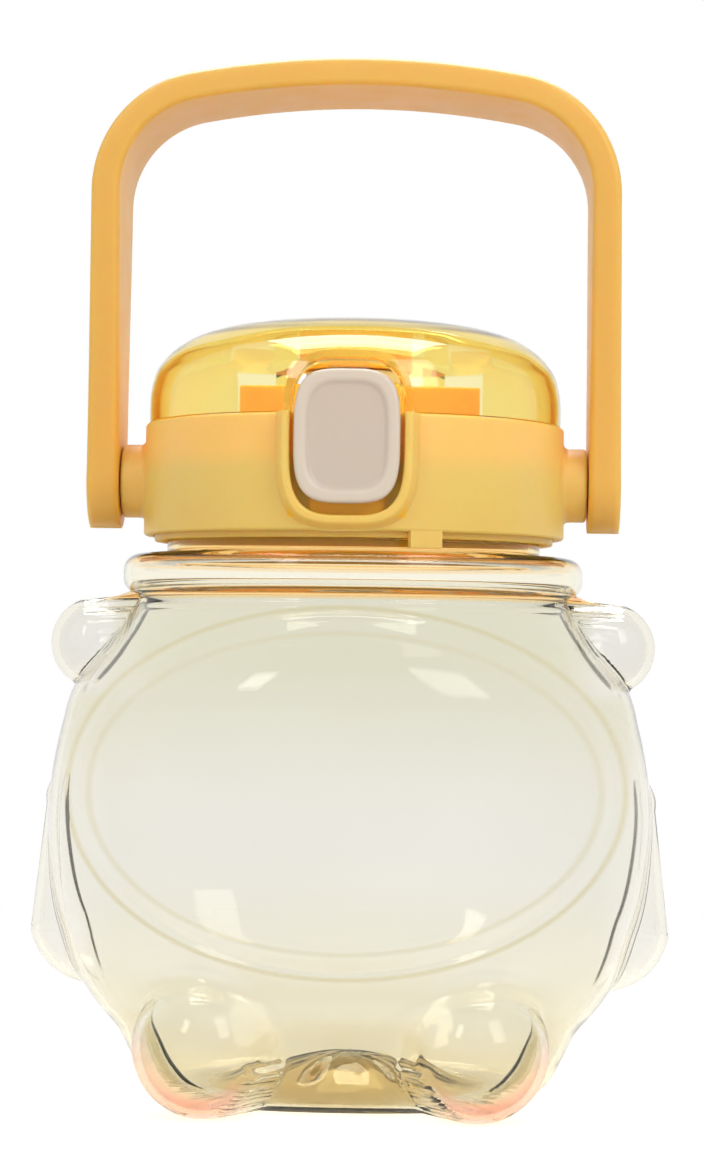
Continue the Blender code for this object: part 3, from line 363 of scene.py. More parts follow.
def body_distance(x, y, z, soften=1.0):
    """Distance from the bottle's surface below the collar, negative inside; a factor widens the fillets."""
    side = np.abs(x)
    ear_x, ear_z, ear_radius = EAR
    ear = np.sqrt((side - ear_x) ** 2 + y * y + (z - ear_z) ** 2) - ear_radius
    along_x, along_z = ARM_HIGH[0] - ARM_LOW[0], ARM_HIGH[1] - ARM_LOW[1]
    length = along_x**2 + along_z**2
    t = np.clip(((side - ARM_LOW[0]) * along_x + (z - ARM_LOW[1]) * along_z) / length, 0.0, 1.0)
    thick = ARM_LOW[2] + (ARM_HIGH[2] - ARM_LOW[2]) * t
    arm_x, arm_z = ARM_LOW[0] + along_x * t, ARM_LOW[1] + along_z * t
    arm = np.sqrt((side - arm_x) ** 2 + y * y + (z - arm_z) ** 2) - thick
    foot_x, foot_y, foot_radius = FOOT
    foot_z = foot_radius - FOOT_SINK
    foot = np.sqrt((side - foot_x) ** 2 + (y - foot_y) ** 2 + (z - foot_z) ** 2) - foot_radius
    belly = belly_distance(x, y, z, crisp_oval=soften == 1.0)
    whole = smooth_union(belly, foot, FOOT_FILLET * soften)
    whole = smooth_union(whole, arm, LIMB_FILLET * soften)
    return smooth_union(whole, ear, LIMB_FILLET * soften)


def body_radius(angles, z, depth=0.0):
    """Where rays from the axis leave the bottle, at a depth under its surface."""
    c, s = np.cos(angles), np.sin(angles)
    radius = np.full_like(angles, BELLY_HALF_WIDTH + 2 * ARM_LOW[2])
    soften = INNER_SOFTENING if depth else 1.0
    for _ in range(90):
        radius = radius - 0.8 * (body_distance(radius * c, radius * s, z, soften) + depth)
    return radius


def neck_radius(angles, z):
    """The neck's outer radius with its two thread ridges."""
    rise = np.zeros_like(angles)
    for n in range(THREAD_STARTS):
        turn = np.mod(angles - 2 * math.pi * n / THREAD_STARTS, 2 * math.pi)
        middle = THREAD_BASE + THREAD_LEAD * turn / (2 * math.pi)
        flank = (THREAD_ROOT_WIDTH - THREAD_CREST_WIDTH) / 2
        across = 1 - (np.abs(z - middle) - THREAD_CREST_WIDTH / 2) / flank
        share = turn / (2 * math.pi * THREAD_TURN_SHARE)
        ends = smooth_step(share * 20) * smooth_step((1 - share) * 20)
        rise = np.maximum(rise, smooth_step(across) * ends)
    return NECK_RADIUS + THREAD_HEIGHT * rise


def make_bottle():
    """The clear blown shell with its pushed-up floor, hollow collar and threaded neck."""
    sides = 512
    crowding = 0.45
    turn = 2 * math.pi * np.arange(sides) / sides
    angles = turn - crowding / 2 * np.sin(2 * turn)
    c, s = np.cos(angles), np.sin(angles)
    rings = []

    def add(radius, z):
        radius = np.broadcast_to(radius, angles.shape)
        height = np.broadcast_to(z, angles.shape)
        rings.append(np.stack([radius * c, radius * s, height], axis=-1))

    for t in np.linspace(0.02, 0.97, 14):
        add(PUSH_UP_RADIUS * t, PUSH_UP_HEIGHT * math.cos(t * math.pi / 2) ** 2)
    add(PUSH_UP_RADIUS, 0.0)
    low_top = 0.010
    low_heights = low_top * np.linspace(0, 1, 26)[:-1] ** 1.7
    for z in [*low_heights, *np.linspace(low_top, BELLY_TOP, 210)]:
        add(body_radius(angles, z), z)
    low_centre = (COLLAR_RADIUS - COLLAR_ROUNDING, COLLAR_BOTTOM + COLLAR_ROUNDING)
    high_centre = (COLLAR_RADIUS - COLLAR_ROUNDING, COLLAR_TOP - COLLAR_ROUNDING)
    outline = arc(low_centre, COLLAR_ROUNDING, -85, 0, 10) + arc(high_centre, COLLAR_ROUNDING, 0, 90, 10)
    root = NECK_ROOT_ROUNDING
    outline += arc((NECK_RADIUS + root, COLLAR_TOP + root), root, -90, -180, 4)
    for radius, z in outline:
        add(radius, z)
    mouth = MOUTH_ROUNDING
    for z in np.linspace(COLLAR_TOP + 2 * root, MOUTH_TOP - mouth, 46):
        add(neck_radius(angles, z), z)
    inner = NECK_RADIUS - NECK_WALL
    for radius, z in arc((NECK_RADIUS - mouth, MOUTH_TOP - mouth), mouth, 15, 90, 4):
        add(radius, z)
    for radius, z in arc((inner + mouth, MOUTH_TOP - mouth), mouth, 90, 180, 5):
        add(radius, z)
    inside_top = BELLY_TOP - BELLY_WALL
    under = body_radius(angles, inside_top, BELLY_WALL)
    bulge = COLLAR_RADIUS - BELLY_WALL
    bulge_top = COLLAR_TOP - BELLY_WALL
    bend = COLLAR_ROUNDING - BELLY_WALL
    for radius, z in arc((inner + bend, bulge_top + bend), bend, 180, 270, 6):
        add(radius, z)
    for radius, z in arc((bulge - bend, bulge_top - bend), bend, 90, 0, 8):
        add(radius, z)
    low_z = COLLAR_BOTTOM + BELLY_WALL
    for radius, z in arc((bulge - bend, low_z + bend), bend, 0, -70, 7):
        add(radius, z)
    stop = math.radians(70)
    last = (bulge - bend + bend * math.cos(stop), low_z + bend * (1 - math.sin(stop)))
    for t in np.linspace(0, 1, 8)[1:-1]:
        add(last[0] + (under - last[0]) * smooth_step(t), last[1] + (inside_top - last[1]) * t)
    wave = 0.0005 * np.sin(5 * angles + 0.6) + 0.0004 * np.sin(9 * angles + 2.1)
    wave = wave + 0.0003 * np.sin(14 * angles)
    for t in np.linspace(0, 1, 130):
        z = inside_top + (FLOOR_THICKNESS - inside_top) * t
        add(body_radius(angles, z, BELLY_WALL), z)
    edge = body_radius(angles, FLOOR_THICKNESS, BELLY_WALL)
    for t in (0.75, 0.5, 0.25):
        add(PUSH_UP_RADIUS + (edge - PUSH_UP_RADIUS) * t, FLOOR_THICKNESS)
    for t in np.linspace(1, 0.02, 16):
        rise = PUSH_UP_HEIGHT * math.cos(t * math.pi / 2) ** 2
        add(PUSH_UP_RADIUS * t, FLOOR_THICKNESS + rise + 0.4 * wave * math.sin(t * math.pi))
    return loft("bottle_shell", rings)


# The lid's shape

def bay_outline(half_width, half_height, sides):
    """The rounded outline of the button or its bay as (x, z)."""
    angle = 2 * math.pi * (np.arange(sides) + 0.5) / sides
    c, s = np.cos(angle), np.sin(angle)
    power = 2 / BUTTON_CORNER_POWER
    x = half_width * np.sign(c) * np.abs(c) ** power
    z = half_height * np.sign(s) * np.abs(s) ** power
    return x, BUTTON_Z + z


BAY_HALF = (BUTTON_WIDTH / 2 + BAY_SIDE_GAP, BUTTON_HEIGHT / 2 + BAY_END_GAP)


def bay_prism(name, grow, front, back, sides=144):
    """A prism of the bay's outline, grown by a margin, between two depths."""
    x, z = bay_outline(BAY_HALF[0] + grow, BAY_HALF[1] + grow, sides)
    rings = [np.stack([x, np.full_like(x, -y), z], axis=-1) for y in (front, back)]
    return loft(name, rings)


def lid_profile():
    """The lid wall's outline with its rounded edges and the inner ledge."""
    inner = LID_TOP_RADIUS - LID_WALL
    top_edge, low_edge = 0.0006, 0.0008
    rows = [(inner, LID_BOTTOM)]
    rows += arc((LID_BOTTOM_RADIUS - low_edge, LID_BOTTOM + low_edge), low_edge, -90, 0, 6)
    rows += arc((LID_TOP_RADIUS - top_edge, LID_TOP - top_edge), top_edge, 0, 90, 6)
    rows += [(inner, LID_TOP), (inner, LEDGE_TOP), (inner - LEDGE_WIDTH, LEDGE_TOP)]
    rows += [(inner - LEDGE_WIDTH, LEDGE_BOTTOM), (inner, LEDGE_BOTTOM)]
    return rows


def make_boss(side):
    """A round boss with a fillet that runs out into the lid's wall."""
    sides = 96
    fillet = 0.0012
    edge = 0.0007
    angle = 2 * math.pi * np.arange(sides) / sides
    rows = []
    for t in np.linspace(0, 1, 8):
        a = t * math.pi / 2
        rows.append((BOSS_RADIUS + fillet * (1 - math.sin(a)), fillet * (1 - math.cos(a)), True))
    rows.append((BOSS_RADIUS, BOSS_END - edge, False))
    for t in np.linspace(0, 1, 6)[1:]:
        a = t * math.pi / 2
        rows.append((BOSS_RADIUS - edge * (1 - math.cos(a)), BOSS_END - edge * (1 - math.sin(a)), False))
    rings = []
    wall = LID_BOTTOM_RADIUS - 0.0002
    sink = 0.0009
    y, z = (BOSS_RADIUS + fillet) * np.cos(angle), (BOSS_RADIUS + fillet) * np.sin(angle)
    rings.append(np.stack([side * (np.sqrt(wall**2 - y**2) - sink), y, PIVOT_Z + z], axis=-1))
    for radius, out, on_wall in rows:
        y, z = radius * np.cos(angle), radius * np.sin(angle)
        x = np.sqrt(wall**2 - y**2) + out if on_wall else np.full_like(y, out)
        rings.append(np.stack([side * x, y, PIVOT_Z + z], axis=-1))
    return loft("boss", rings)


def make_bay_lip():
    """The raised frame round the button's bay, running out into the lid's wall."""
    sides = 176
    back = BAY_LIP_FRONT - 0.0065
    sink = 0.00015
    edge = 0.0006
    wide = BAY_LIP
    run = 0.0019
    sections = [(0.0, back, None), (0.0, BAY_LIP_FRONT - edge, None)]
    for t in np.linspace(0, 1, 6)[1:]:
        a = t * math.pi / 2
        sections.append((edge * (1 - math.cos(a)), BAY_LIP_FRONT - edge * (1 - math.sin(a)), None))
    for t in np.linspace(0, 1, 15):
        sections.append((wide - 0.5 * run + run * t, BAY_LIP_FRONT, t))
    rings = []
    for grow, depth, blend in sections:
        x, z = bay_outline(BAY_HALF[0] + grow, BAY_HALF[1] + grow, sides)
        y = np.full_like(x, depth)
        if blend is not None:
            wall = np.sqrt(LID_TOP_RADIUS**2 - x**2) - sink
            y = depth + (wall - depth) * smooth_step(np.full_like(x, blend))
        rings.append(np.stack([x, -y, z], axis=-1))
    x, z = bay_outline(BAY_HALF[0] + wide + run / 2, BAY_HALF[1] + wide + run / 2, sides)
    rings.append(np.stack([x, -np.full_like(x, back), z], axis=-1))
    lip = loft("lip", np.stack(rings, axis=1), closed=True)
    reach = 2 * COVER_RADIUS
    return combine(lip, block("above", (-reach, -reach, LID_TOP), (reach, reach, HANDLE_TOP)), "DIFFERENCE")


def make_lid():
    """The opaque lid shell with bosses, bay frame, stop lug and hinge block."""
    bay_sides = 144
    lid = turned("lid_shell", lid_profile(), ROUND_SIDES)
    combine(lid, bay_prism("bay", BAY_CUT_MARGIN, BAY_CUT_FRONT, BAY_CUT_BACK), "DIFFERENCE")
    for side in (-1, 1):
        combine(lid, make_boss(side), "UNION")
    combine(lid, make_bay_lip(), "UNION")
    x, z = bay_outline(BAY_HALF[0] + BAY_LIP / 2, BAY_HALF[1] + BAY_LIP / 2, bay_sides)
    depths = (-BAY_BACK, BAY_BACK_THICKNESS - BAY_BACK)
    tub = loft("tub", [np.stack([x, np.full_like(x, y), z], axis=-1) for y in depths])
    reach = 0.05
    combine(tub, block("above", (-reach, -reach, LID_TOP), (reach, reach, HANDLE_TOP)), "DIFFERENCE")
    low = (-BAY_WINDOW, -reach, LATCH_BOTTOM - BAY_WINDOW_HALF_HEIGHT)
    high = (BAY_WINDOW, 0.0, LATCH_BOTTOM + BAY_WINDOW_HALF_HEIGHT)
    combine(tub, block("window", low, high), "DIFFERENCE")
    combine(lid, tub, "UNION")
    room = LINER_RADIUS + GAP / 2
    liner_room = [(room, LID_BOTTOM - LUG_DROP), (room, DECK_TOP + GAP / 2)]
    combine(lid, turned("liner_room", liner_room, ROUND_SIDES, closed=False), "DIFFERENCE")
    lug_inner = LINER_RADIUS + GAP
    lug = block(
        "lug",
        (-LUG_WIDTH / 2, -(lug_inner + LUG_THICKNESS), LID_BOTTOM - LUG_DROP),
        (LUG_WIDTH / 2, -lug_inner, LID_BOTTOM + GAP),
    )
    lug.data.transform(Matrix.Rotation(math.asin(LUG_X / lug_inner), 4, "Z"))
    combine(lid, lug, "UNION")
    half = HINGE_BLOCK_WIDTH / 2
    front = HINGE_Y - HINGE_BLOCK_FRONT
    top = LID_TOP + HINGE_BLOCK_HEIGHT
    over = top + OVERRUN
    rows = [(COVER_RADIUS, LEDGE_TOP - OVERRUN), (COVER_RADIUS, over)]
    rear = turned("rear", rows, ROUND_SIDES, closed=False)
    body = block("hinge_block", (-half, front, LEDGE_TOP - GAP), (half, COVER_RADIUS + OVERRUN, top))
    combine(body, rear, "INTERSECT")
    combine(lid, body, "UNION")
    for side in (-1, 1):
        middle = side * HINGE_ARM_X
        slot_front = HINGE_Y - HINGE_KNUCKLE_RADIUS - GAP
        low = (middle - HINGE_SLOT_HALF, slot_front, HINGE_Z - HINGE_SLOT_DROP)
        combine(lid, block("slot", low, (middle + HINGE_SLOT_HALF, HINGE_SLOT_END, over)), "DIFFERENCE")
    pocket_half = HINGE_POCKET_WIDTH / 2
    low = (-pocket_half, front - OVERRUN, LEDGE_TOP + HINGE_POCKET_FLOOR)
    high = (pocket_half, HINGE_Y + HINGE_BLOCK_FRONT, over)
    combine(lid, block("pocket", low, high), "DIFFERENCE")
    return crisp(lid)


def cover_profile(inset=0.0, rows=48):
    """The cover's outline from its rim to its top, moved inward by an inset."""
    table = np.array(COVER_OUTLINE)
    run = np.concatenate([[0], np.cumsum(np.hypot(*np.diff(table, axis=0).T))])
    t = np.linspace(0, run[-1], rows)
    r = smooth_curve(list(zip(run, table[:, 0])), t)[0] * COVER_RADIUS
    z = smooth_curve(list(zip(run, table[:, 1])), t)[0] * COVER_HEIGHT + LID_TOP + GAP
    if inset:
        along = np.stack([np.gradient(r), np.gradient(z)])
        along /= np.linalg.norm(along, axis=0)
        r, z = r - along[1] * inset, z + along[0] * inset
    return list(zip(r.tolist(), z.tolist()))


def make_cover():
    """The transparent dome with its button arch, latch tongue and hinge arms."""
    outer = turned("cover_shell", cover_profile(), ROUND_SIDES, closed=False)
    rows = cover_profile(COVER_WALL)
    rows[0] = (rows[0][0], rows[0][1] - OVERRUN)
    hollow = turned("hollow", rows, ROUND_SIDES, closed=False)
    before = COVER_RADIUS + OVERRUN
    combine(hollow, bay_prism("arch", ARCH_WALL, before, TONGUE_BACK), "DIFFERENCE")
    combine(outer, hollow, "DIFFERENCE")
    combine(outer, bay_prism("opening", 0.0, before, TONGUE_BACK - OVERRUN), "DIFFERENCE")
    notch_half = HINGE_BLOCK_WIDTH / 2 + HINGE_NOTCH_GAP
    notch_top = LID_TOP + HINGE_BLOCK_HEIGHT + HINGE_NOTCH_RISE
    low = (-notch_half, HINGE_Y / 2, LID_BOTTOM)
    combine(outer, block("notch", low, (notch_half, before, notch_top)), "DIFFERENCE")
    tongue_top = BUTTON_Z + BAY_HALF[1] + ARCH_WALL / 2
    tongue = [
        (-TONGUE_FRONT, TONGUE_BOTTOM),
        (-BARB_TIP, TONGUE_BOTTOM),
        (-BARB_TIP, TONGUE_BOTTOM + BARB_HEIGHT / 2),
        (-TONGUE_BACK - GAP, TONGUE_BOTTOM + BARB_HEIGHT),
        (-TONGUE_BACK - GAP, tongue_top),
        (-TONGUE_FRONT, tongue_top),
    ]
    combine(outer, extruded("tongue", tongue, -TONGUE_WIDTH / 2, TONGUE_WIDTH / 2), "UNION")
    rows = cover_profile(COVER_WALL / 2)
    rows.insert(0, (rows[0][0], HINGE_Z - 2 * HINGE_KNUCKLE_RADIUS))
    half_thick = HINGE_ARM_THICKNESS / 2
    spread_angle = math.degrees(math.acos(half_thick / HINGE_KNUCKLE_RADIUS))
    knuckle = arc((HINGE_Y, HINGE_Z), HINGE_KNUCKLE_RADIUS, 180 - spread_angle, 360 + spread_angle, 28)
    top = LID_TOP + COVER_HEIGHT + OVERRUN
    knuckle += [(HINGE_Y + half_thick, top), (HINGE_Y - half_thick, top)]
    for side in (-1, 1):
        near = side * HINGE_ARM_X - HINGE_ARM_WIDTH / 2
        arm = extruded("arm", knuckle, near, near + HINGE_ARM_WIDTH)
        combine(arm, turned("dome_middle", rows, ROUND_SIDES, closed=False), "INTERSECT")
        ends = (near - OVERRUN, near + HINGE_ARM_WIDTH + OVERRUN)
        eye = turned("eye", [(HINGE_EYE_RADIUS, end) for end in ends], 24, closed=False)
        eye.data.transform(Matrix.Translation((0, HINGE_Y, HINGE_Z)) @ Matrix.Rotation(math.pi / 2, 4, "Y"))
        combine(arm, eye, "DIFFERENCE")
        combine(outer, arm, "UNION")
    return crisp(outer)


def make_button():
    """The satin push button with a shallow dish, a soft edge and the latch frame behind it."""
    sides = 160
    edge = 0.0009
    rim = 0.0021
    dish = 0.0008
    back, front = BUTTON_FRONT - BUTTON_THICKNESS, BUTTON_FRONT
    sections = [(0.0, back), (0.0, front - edge)]
    for t in np.linspace(0, 1, 8)[1:]:
        a = t * math.pi / 2
        sections.append((edge * (1 - math.cos(a)), front - edge * (1 - math.sin(a))))
    slope_start = rim - 0.0004
    slope_run = 0.0016
    sections.append((slope_start, front))
    for t in np.linspace(0, 1, 12)[1:]:
        sections.append((slope_start + slope_run * t, front - dish * float(smooth_step(t))))
    floor_start = 0.0033
    floor_run = 0.0072
    floor_rise = 0.25
    for inset in (0.0045, 0.0062, 0.0078, 0.0090, 0.0099):
        sections.append((inset, front - dish * (1 - floor_rise * (inset - floor_start) / floor_run)))
    rings = []
    for inset, depth in sections:
        x, z = bay_outline(BUTTON_WIDTH / 2 - inset, BUTTON_HEIGHT / 2 - inset, sides)
        rings.append(np.stack([x, np.full_like(x, -depth), z], axis=-1))
    button = loft("button_face", rings)
    top = LATCH_BOTTOM + LATCH_BAR_HEIGHT
    outer = LATCH_ARM_X + LATCH_ARM_THICKNESS
    latch = block("latch", (-outer, -back - GAP, LATCH_BOTTOM), (outer, -LATCH_BAR_BACK, top))
    low = (-LATCH_ARM_X, -back, LATCH_BOTTOM - OVERRUN)
    combine(latch, block("window", low, (LATCH_ARM_X, -LATCH_BAR_FRONT, top + OVERRUN)), "DIFFERENCE")
    return crisp(combine(button, latch, "UNION"))


def soft_ring(inner, outer, low, high, edge=SOFT_EDGE):
    """A ring's outline with rounded corners."""
    rows = arc((outer - edge, low + edge), edge, -90, 0, 3)
    rows += arc((outer - edge, high - edge), edge, 0, 90, 3)
    rows += arc((inner + edge, high - edge), edge, 90, 180, 3)
    return rows + arc((inner + edge, low + edge), edge, 180, 270, 3)


def make_inner_parts():
    """The liner, gasket, spout, plug and retainer that show through the clear plastics.

    The liner's bore is plain here, without the CAD's thread.
    """
    hole = SPOUT_RADIUS + GAP
    low = LID_BOTTOM - LINER_DROP
    inner = LINER_RADIUS - LINER_WALL
    edge = LINER_EDGE
    rows = arc((LINER_RADIUS - edge, low + edge), edge, -90, 0, 4)
    rows += [(LINER_RADIUS, DECK_TOP), (hole, DECK_TOP), (hole, DECK_BOTTOM), (inner, DECK_BOTTOM)]
    rows += arc((inner + edge, low + edge), edge, 180, 270, 4)
    yield crisp(turned("liner_cap", rows, 192)), "lid_liner"
    gasket = soft_ring(GASKET_INNER_RADIUS, inner - GAP, MOUTH_TOP + GAP, DECK_BOTTOM - GAP)
    yield crisp(turned("mouth_seal", gasket, 160)), "neck_gasket"
    bore = SPOUT_RADIUS - SPOUT_WALL
    seat = DECK_TOP + 2 * GAP + SPOUT_GASKET_THICKNESS
    rim = SPOUT_WALL / 2
    spout = [
        (bore, DECK_BOTTOM - SPOUT_TAIL),
        (SPOUT_RADIUS, DECK_BOTTOM - SPOUT_TAIL),
        (SPOUT_RADIUS + SPOUT_SNAP, DECK_BOTTOM - GAP - SPOUT_SNAP),
        (SPOUT_RADIUS + SPOUT_SNAP, DECK_BOTTOM - GAP),
        (SPOUT_RADIUS, DECK_BOTTOM - GAP),
        (SPOUT_RADIUS, seat),
        (SPOUT_FLANGE_RADIUS, seat),
        (SPOUT_FLANGE_RADIUS, seat + SPOUT_FLANGE_THICKNESS),
    ]
    root = 0.001
    spout += arc((SPOUT_RADIUS + root, seat + SPOUT_FLANGE_THICKNESS + root), root, 270, 180, 5)
    spout += arc((SPOUT_RADIUS - rim, SPOUT_TOP - rim), rim, 0, 180, 10)
    yield crisp(turned("spout_tube", spout, 96)), "spout"
    plug_low = SPOUT_TOP + GAP
    plug_seat = plug_low + PLUG_THICKNESS
    plate = plug_seat + GAP + RETAINER_PLATE + GAP
    plug_rim = SPOUT_RADIUS + PLUG_OVERLAP
    plug = [(0.0040, plug_low - PLUG_NUB_DEPTH), (0.0052, plug_low - 0.0007), (PLUG_NUB_RADIUS, plug_low)]
    plug += arc((plug_rim, plug_low + SOFT_EDGE), SOFT_EDGE, -90, 0, 3)
    plug += arc((plug_rim, plug_seat - SOFT_EDGE), SOFT_EDGE, 0, 90, 3)
    plug += [(PLUG_STEM_RADIUS, plug_seat), (PLUG_STEM_RADIUS, plate), (PLUG_HEAD_RADIUS, plate)]
    plug += [(0.0050, plate + 0.0008), (0.0044, plate + PLUG_HEAD_THICKNESS)]
    yield crisp(turned("plug_cap", plug, 72, closed=False)), "spout_plug"
    rows = cover_profile(COVER_WALL)[::-1]
    ceiling = float(np.interp(RETAINER_RADIUS, [r for r, z in rows], [z for r, z in rows]))
    retainer_low = plug_seat + GAP
    cup = [
        (PLUG_STEM_HOLE, retainer_low),
        (RETAINER_RADIUS - edge, retainer_low),
        (RETAINER_RADIUS, retainer_low + edge),
        (RETAINER_RADIUS, ceiling - 2 * GAP),
        (RETAINER_RADIUS - RETAINER_WALL, ceiling - 2 * GAP),
        (RETAINER_RADIUS - RETAINER_WALL, retainer_low + RETAINER_PLATE),
        (PLUG_STEM_HOLE, retainer_low + RETAINER_PLATE),
    ]
    yield crisp(turned("plug_cup", cup, 96)), "plug_retainer"


# The handle's shape

def handle_path():
    """Stations up the right half of the handle: inner point and outward direction."""
    stations = []
    for share in np.sin(np.linspace(math.pi / 2, 0.05, 22)):
        stations.append((HANDLE_INNER_X, PIVOT_Z - HANDLE_END_RADIUS * share, 0.0))
    corner_r = HANDLE_CORNER_RADIUS - HANDLE_TOP_THICKNESS
    inner_top = HANDLE_TOP - HANDLE_CROWN - HANDLE_TOP_THICKNESS
    corner_z = inner_top - corner_r
    for t in np.linspace(0, 1, 26)[:-1]:
        stations.append((HANDLE_INNER_X, PIVOT_Z + (corner_z - PIVOT_Z) * t, 0.0))
    corner_x = HANDLE_INNER_X - corner_r
    crown_angle = 2 * math.atan(HANDLE_CROWN / corner_x)
    for t in np.linspace(0, 1, 33):
        angle = (math.pi / 2 - crown_angle) * t
        x = corner_x + corner_r * math.cos(angle)
        stations.append((x, corner_z + corner_r * math.sin(angle), angle))
    x_end, z_end, _ = stations[-1]
    crown_r = x_end / math.sin(crown_angle)
    for t in np.linspace(0, 1, 21)[1:]:
        angle = crown_angle * (1 - t)
        z = z_end + crown_r * (math.cos(angle) - math.cos(crown_angle))
        stations.append((crown_r * math.sin(angle), z, math.pi / 2 - angle))
    return stations


def handle_section(x, z, turn, side):
    """One rounded section of the strap."""
    inner_top = HANDLE_TOP - HANDLE_TOP_THICKNESS
    share = min(max((z - PIVOT_Z) / (inner_top - PIVOT_Z), 0.0), 1.0)
    thickness = HANDLE_LOW_THICKNESS + (HANDLE_TOP_THICKNESS - HANDLE_LOW_THICKNESS) * share
    half = HANDLE_END_RADIUS + (HANDLE_TOP_DEPTH / 2 - HANDLE_END_RADIUS) * float(smooth_step(share))
    edge = HANDLE_EDGE_ROUNDING
    drop = max(PIVOT_Z - z, 0.0)
    if drop:
        half = math.sqrt(max(HANDLE_END_RADIUS**2 - drop**2, (1.2 * edge) ** 2))
    corners = (
        ((thickness - edge, half - edge), 0, 90),
        ((edge, half - edge), 90, 180),
        ((edge, edge - half), 180, 270),
        ((thickness - edge, edge - half), 270, 360),
    )
    points = []
    for centre, start, end in corners:
        for out, y in arc(centre, edge, start, end, 8):
            points.append((side * (x + out * math.cos(turn)), y, z + out * math.sin(turn)))
    return points


def make_handle():
    """The carrying strap in one sweep, with its seats and bores for the pins."""
    half = handle_path()
    rings = [handle_section(*station, 1) for station in half]
    rings += [handle_section(*station, -1) for station in half[:-1]][::-1]
    handle = loft("handle_strap", rings)
    for side in (-1, 1):
        place = Matrix.Translation((side * (HANDLE_INNER_X + HANDLE_LOW_THICKNESS), 0, PIVOT_Z))
        place = place @ Matrix.Rotation(side * math.pi / 2, 4, "Y")
        for radius, depth in (HANDLE_SEAT, HANDLE_BORE):
            hole = turned("hole", [(radius, -depth), (radius, OVERRUN)], 64, closed=False)
            hole.data.transform(place)
            combine(handle, hole, "DIFFERENCE")
    return crisp(handle)


# Materials

def node_tree(name):
    """A material with one Principled shader linked to its output."""
    made = bpy.data.materials.new(name)
    made.use_nodes = True
    tree = made.node_tree
    tree.nodes.clear()
    output = tree.nodes.new("ShaderNodeOutputMaterial")
    shader = tree.nodes.new("ShaderNodeBsdfPrincipled")
    tree.links.new(shader.outputs["BSDF"], output.inputs["Surface"])
    return made, tree, shader, output


def noise(tree, scale, detail=3.0, stretch=(1, 1, 1)):
    """Noise over the object's own coordinates."""
    place = tree.nodes.new("ShaderNodeTexCoord")
    mapping = tree.nodes.new("ShaderNodeMapping")
    mapping.inputs["Scale"].default_value = stretch
    texture = tree.nodes.new("ShaderNodeTexNoise")
    texture.inputs["Scale"].default_value = scale
    texture.inputs["Detail"].default_value = detail
    tree.links.new(place.outputs["Object"], mapping.inputs["Vector"])
    tree.links.new(mapping.outputs["Vector"], texture.inputs["Vector"])
    return texture.outputs["Fac"]


def spread(tree, source, low, high):
    """Map a noise value to a range."""
    node = tree.nodes.new("ShaderNodeMapRange")
    node.inputs["From Min"].default_value = 0.3
    node.inputs["From Max"].default_value = 0.7
    node.inputs["To Min"].default_value = low
    node.inputs["To Max"].default_value = high
    tree.links.new(source, node.inputs["Value"])
    return node.outputs["Result"]


def mixed(tree, factor, first, second):
    """A colour between two by a factor."""
    node = tree.nodes.new("ShaderNodeMix")
    node.data_type = "RGBA"
    node.inputs["A"].default_value = (*first, 1.0)
    node.inputs["B"].default_value = (*second, 1.0)
    tree.links.new(factor, node.inputs["Factor"])
    return node.outputs["Result"]


def tinted(tree, colour, factor, tint):
    """A colour moved toward a tint by a factor."""
    node = tree.nodes.new("ShaderNodeMix")
    node.data_type = "RGBA"
    node.inputs["B"].default_value = (*tint, 1.0)
    tree.links.new(colour, node.inputs["A"])
    tree.links.new(factor, node.inputs["Factor"])
    return node.outputs["Result"]


def maths(tree, operation, first, second=None):
    """One math node over sockets or plain numbers."""
    node = tree.nodes.new("ShaderNodeMath")
    node.operation = operation
    for value, socket in zip((first, second), node.inputs):
        if value is None:
            continue
        if isinstance(value, (int, float)):
            socket.default_value = value
        else:
            tree.links.new(value, socket)
    return node.outputs["Value"]


def ramp(tree, value, start, end):
    """A smooth share from 0 at the start to 1 at the end."""
    node = tree.nodes.new("ShaderNodeMapRange")
    node.interpolation_type = "SMOOTHSTEP"
    flip = end < start
    node.inputs["From Min"].default_value = min(start, end)
    node.inputs["From Max"].default_value = max(start, end)
    node.inputs["To Min"].default_value = float(flip)
    node.inputs["To Max"].default_value = float(not flip)
    tree.links.new(value, node.inputs["Value"])
    return node.outputs["Result"]


def own_axes(tree):
    """The object's own coordinates, one socket for each axis."""
    place = tree.nodes.new("ShaderNodeTexCoord")
    parts = tree.nodes.new("ShaderNodeSeparateXYZ")
    tree.links.new(place.outputs["Object"], parts.inputs["Vector"])
    return parts.outputs


def hypotenuse(tree, first, second):
    """The length of a step of two values at right angles."""
    squares = [maths(tree, "MULTIPLY", value, value) for value in (first, second)]
    return maths(tree, "SQRT", maths(tree, "ADD", *squares))


def blended(tree, factor, first, second, output):
    """Show two shaders, blended by a factor."""
    node = tree.nodes.new("ShaderNodeMixShader")
    tree.links.new(factor, node.inputs["Fac"])
    tree.links.new(first, node.inputs[1])
    tree.links.new(second, node.inputs[2])
    tree.links.new(node.outputs["Shader"], output.inputs["Surface"])


